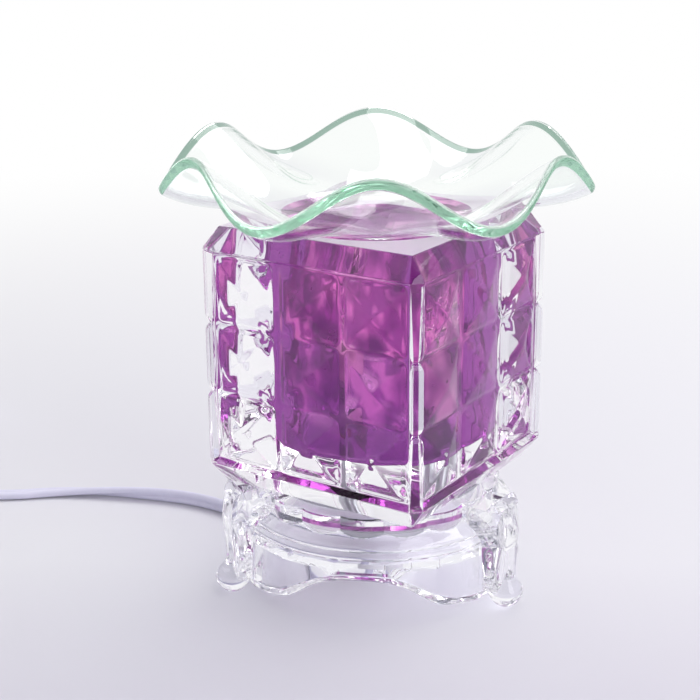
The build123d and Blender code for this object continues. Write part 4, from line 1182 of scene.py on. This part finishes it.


# Coated paper: matt, with painted shade that greys it towards the camera, and it fades to plain
# white away from the object
sweep, tree = new_material("paper_sweep")
place = node(tree, "ShaderNodeTexCoord")
far = node(tree, "ShaderNodeVectorMath", {0: place.outputs["Object"]}, operation="LENGTH")
fade = node(
    tree,
    "ShaderNodeMapRange",
    {"Value": far.outputs["Value"], "From Min": 0.06, "From Max": 0.75},
    interpolation_type="SMOOTHSTEP",
)
_, seen = seen_rays(tree)
inputs = {0: seen.outputs[0], 1: fade.outputs["Result"]}
white = node(tree, "ShaderNodeMath", inputs, operation="MULTIPLY")
# Painted shade: the paper is mixed to grey lavender towards the camera, standing in for the soft
# shadow in front of the object
front = towards(tree, place.outputs["Object"], (0.54, -0.84, 0.0), 0.0, 0.2)
tone = node(
    tree,
    "ShaderNodeMix",
    {"Factor": front.outputs["Result"], "A": srgb("#dcdbe1"), "B": srgb("#bdb7c8")},
    data_type="RGBA",
)
inputs = {"Base Color": tone.outputs["Result"], "Roughness": 0.8}
paper = node(tree, "ShaderNodeBsdfPrincipled", inputs)
glare = node(tree, "ShaderNodeEmission", {"Color": srgb("#ffffff"), "Strength": 1.0})
inputs = {0: white.outputs[0], 1: paper.outputs[0], 2: glare.outputs[0]}
finish_material(tree, node(tree, "ShaderNodeMixShader", inputs))
floor.data.materials.append(sweep)

world = bpy.data.worlds.new("studio")
scene.world = world
world.use_nodes = True
tree = world.node_tree
tree.nodes.clear()
paths, seen = seen_rays(tree)
room = node(tree, "ShaderNodeBackground", {"Color": srgb("#f4f3f7"), "Strength": 0.55})
place = node(tree, "ShaderNodeTexCoord")
front = towards(tree, place.outputs["Generated"], (0.49, -0.75, 0.44), 0.55, 0.85)
above = towards(tree, place.outputs["Generated"], (0.0, 0.0, 1.0), 0.03, 0.15)
inputs = {0: front.outputs["Result"], 1: above.outputs["Result"]}
dark = node(tree, "ShaderNodeMath", inputs, operation="MULTIPLY")
inputs = {0: 1.0, 1: paths.outputs["Is Camera Ray"]}
unseen = node(tree, "ShaderNodeMath", inputs, operation="SUBTRACT")
inputs = {0: dark.outputs[0], 1: unseen.outputs[0]}
dark = node(tree, "ShaderNodeMath", inputs, operation="MULTIPLY")
tone = node(
    tree,
    "ShaderNodeMix",
    {"Factor": dark.outputs[0], "A": srgb("#fdfdfe"), "B": srgb("#4e4a58")},
    data_type="RGBA",
)
white = node(tree, "ShaderNodeBackground", {"Color": tone.outputs["Result"], "Strength": 1.0})
inputs = {0: seen.outputs[0], 1: room.outputs[0], 2: white.outputs[0]}
mixed = node(tree, "ShaderNodeMixShader", inputs)
node(tree, "ShaderNodeOutputWorld", {"Surface": mixed.outputs[0]})


def soft_light(name, place, target, size, power):
    light = bpy.data.lights.new(name, "AREA")
    light.shape = "RECTANGLE"
    light.size, light.size_y = size
    light.energy = power
    lamp = bpy.data.objects.new(name, light)
    scene.collection.objects.link(lamp)
    lamp.location = place
    lamp.rotation_euler = (Vector(target) - Vector(place)).to_track_quat("-Z", "Y").to_euler()


soft_light("top_box", (0.1, 0.5, 1.1), (0, 0, 0.05), (1.0, 0.8), 9.0)
soft_light("side_box", (1.0, -0.3, 0.6), (0, 0, 0.08), (0.6, 0.9), 5.0)

# Camera: at the photograph's viewpoint, a little above the dish and turned past the front corner.
# Its place, lens and small roll come from a fit to the object's own edges.
SENSOR_WIDTH = 36.0
FOCAL_PIXELS = 1557.89
PICTURE_PIXELS = 700
CAMERA_ROLL = math.radians(-0.44)
stand_at = Vector((265.40, -411.51, 234.39)) * MM
look_at = Vector((-7.35, -4.93, 76.80)) * MM
camera_data = bpy.data.cameras.new("camera")
camera_data.sensor_width = SENSOR_WIDTH
camera_data.lens = SENSOR_WIDTH * FOCAL_PIXELS / PICTURE_PIXELS
camera = bpy.data.objects.new("camera", camera_data)
scene.collection.objects.link(camera)
aim = (look_at - stand_at).to_track_quat("-Z", "Y")
camera.rotation_mode = "QUATERNION"
camera.rotation_quaternion = aim @ Quaternion((0, 0, 1), CAMERA_ROLL)
camera.location = stand_at
scene.camera = camera

bpy.context.view_layer.update()
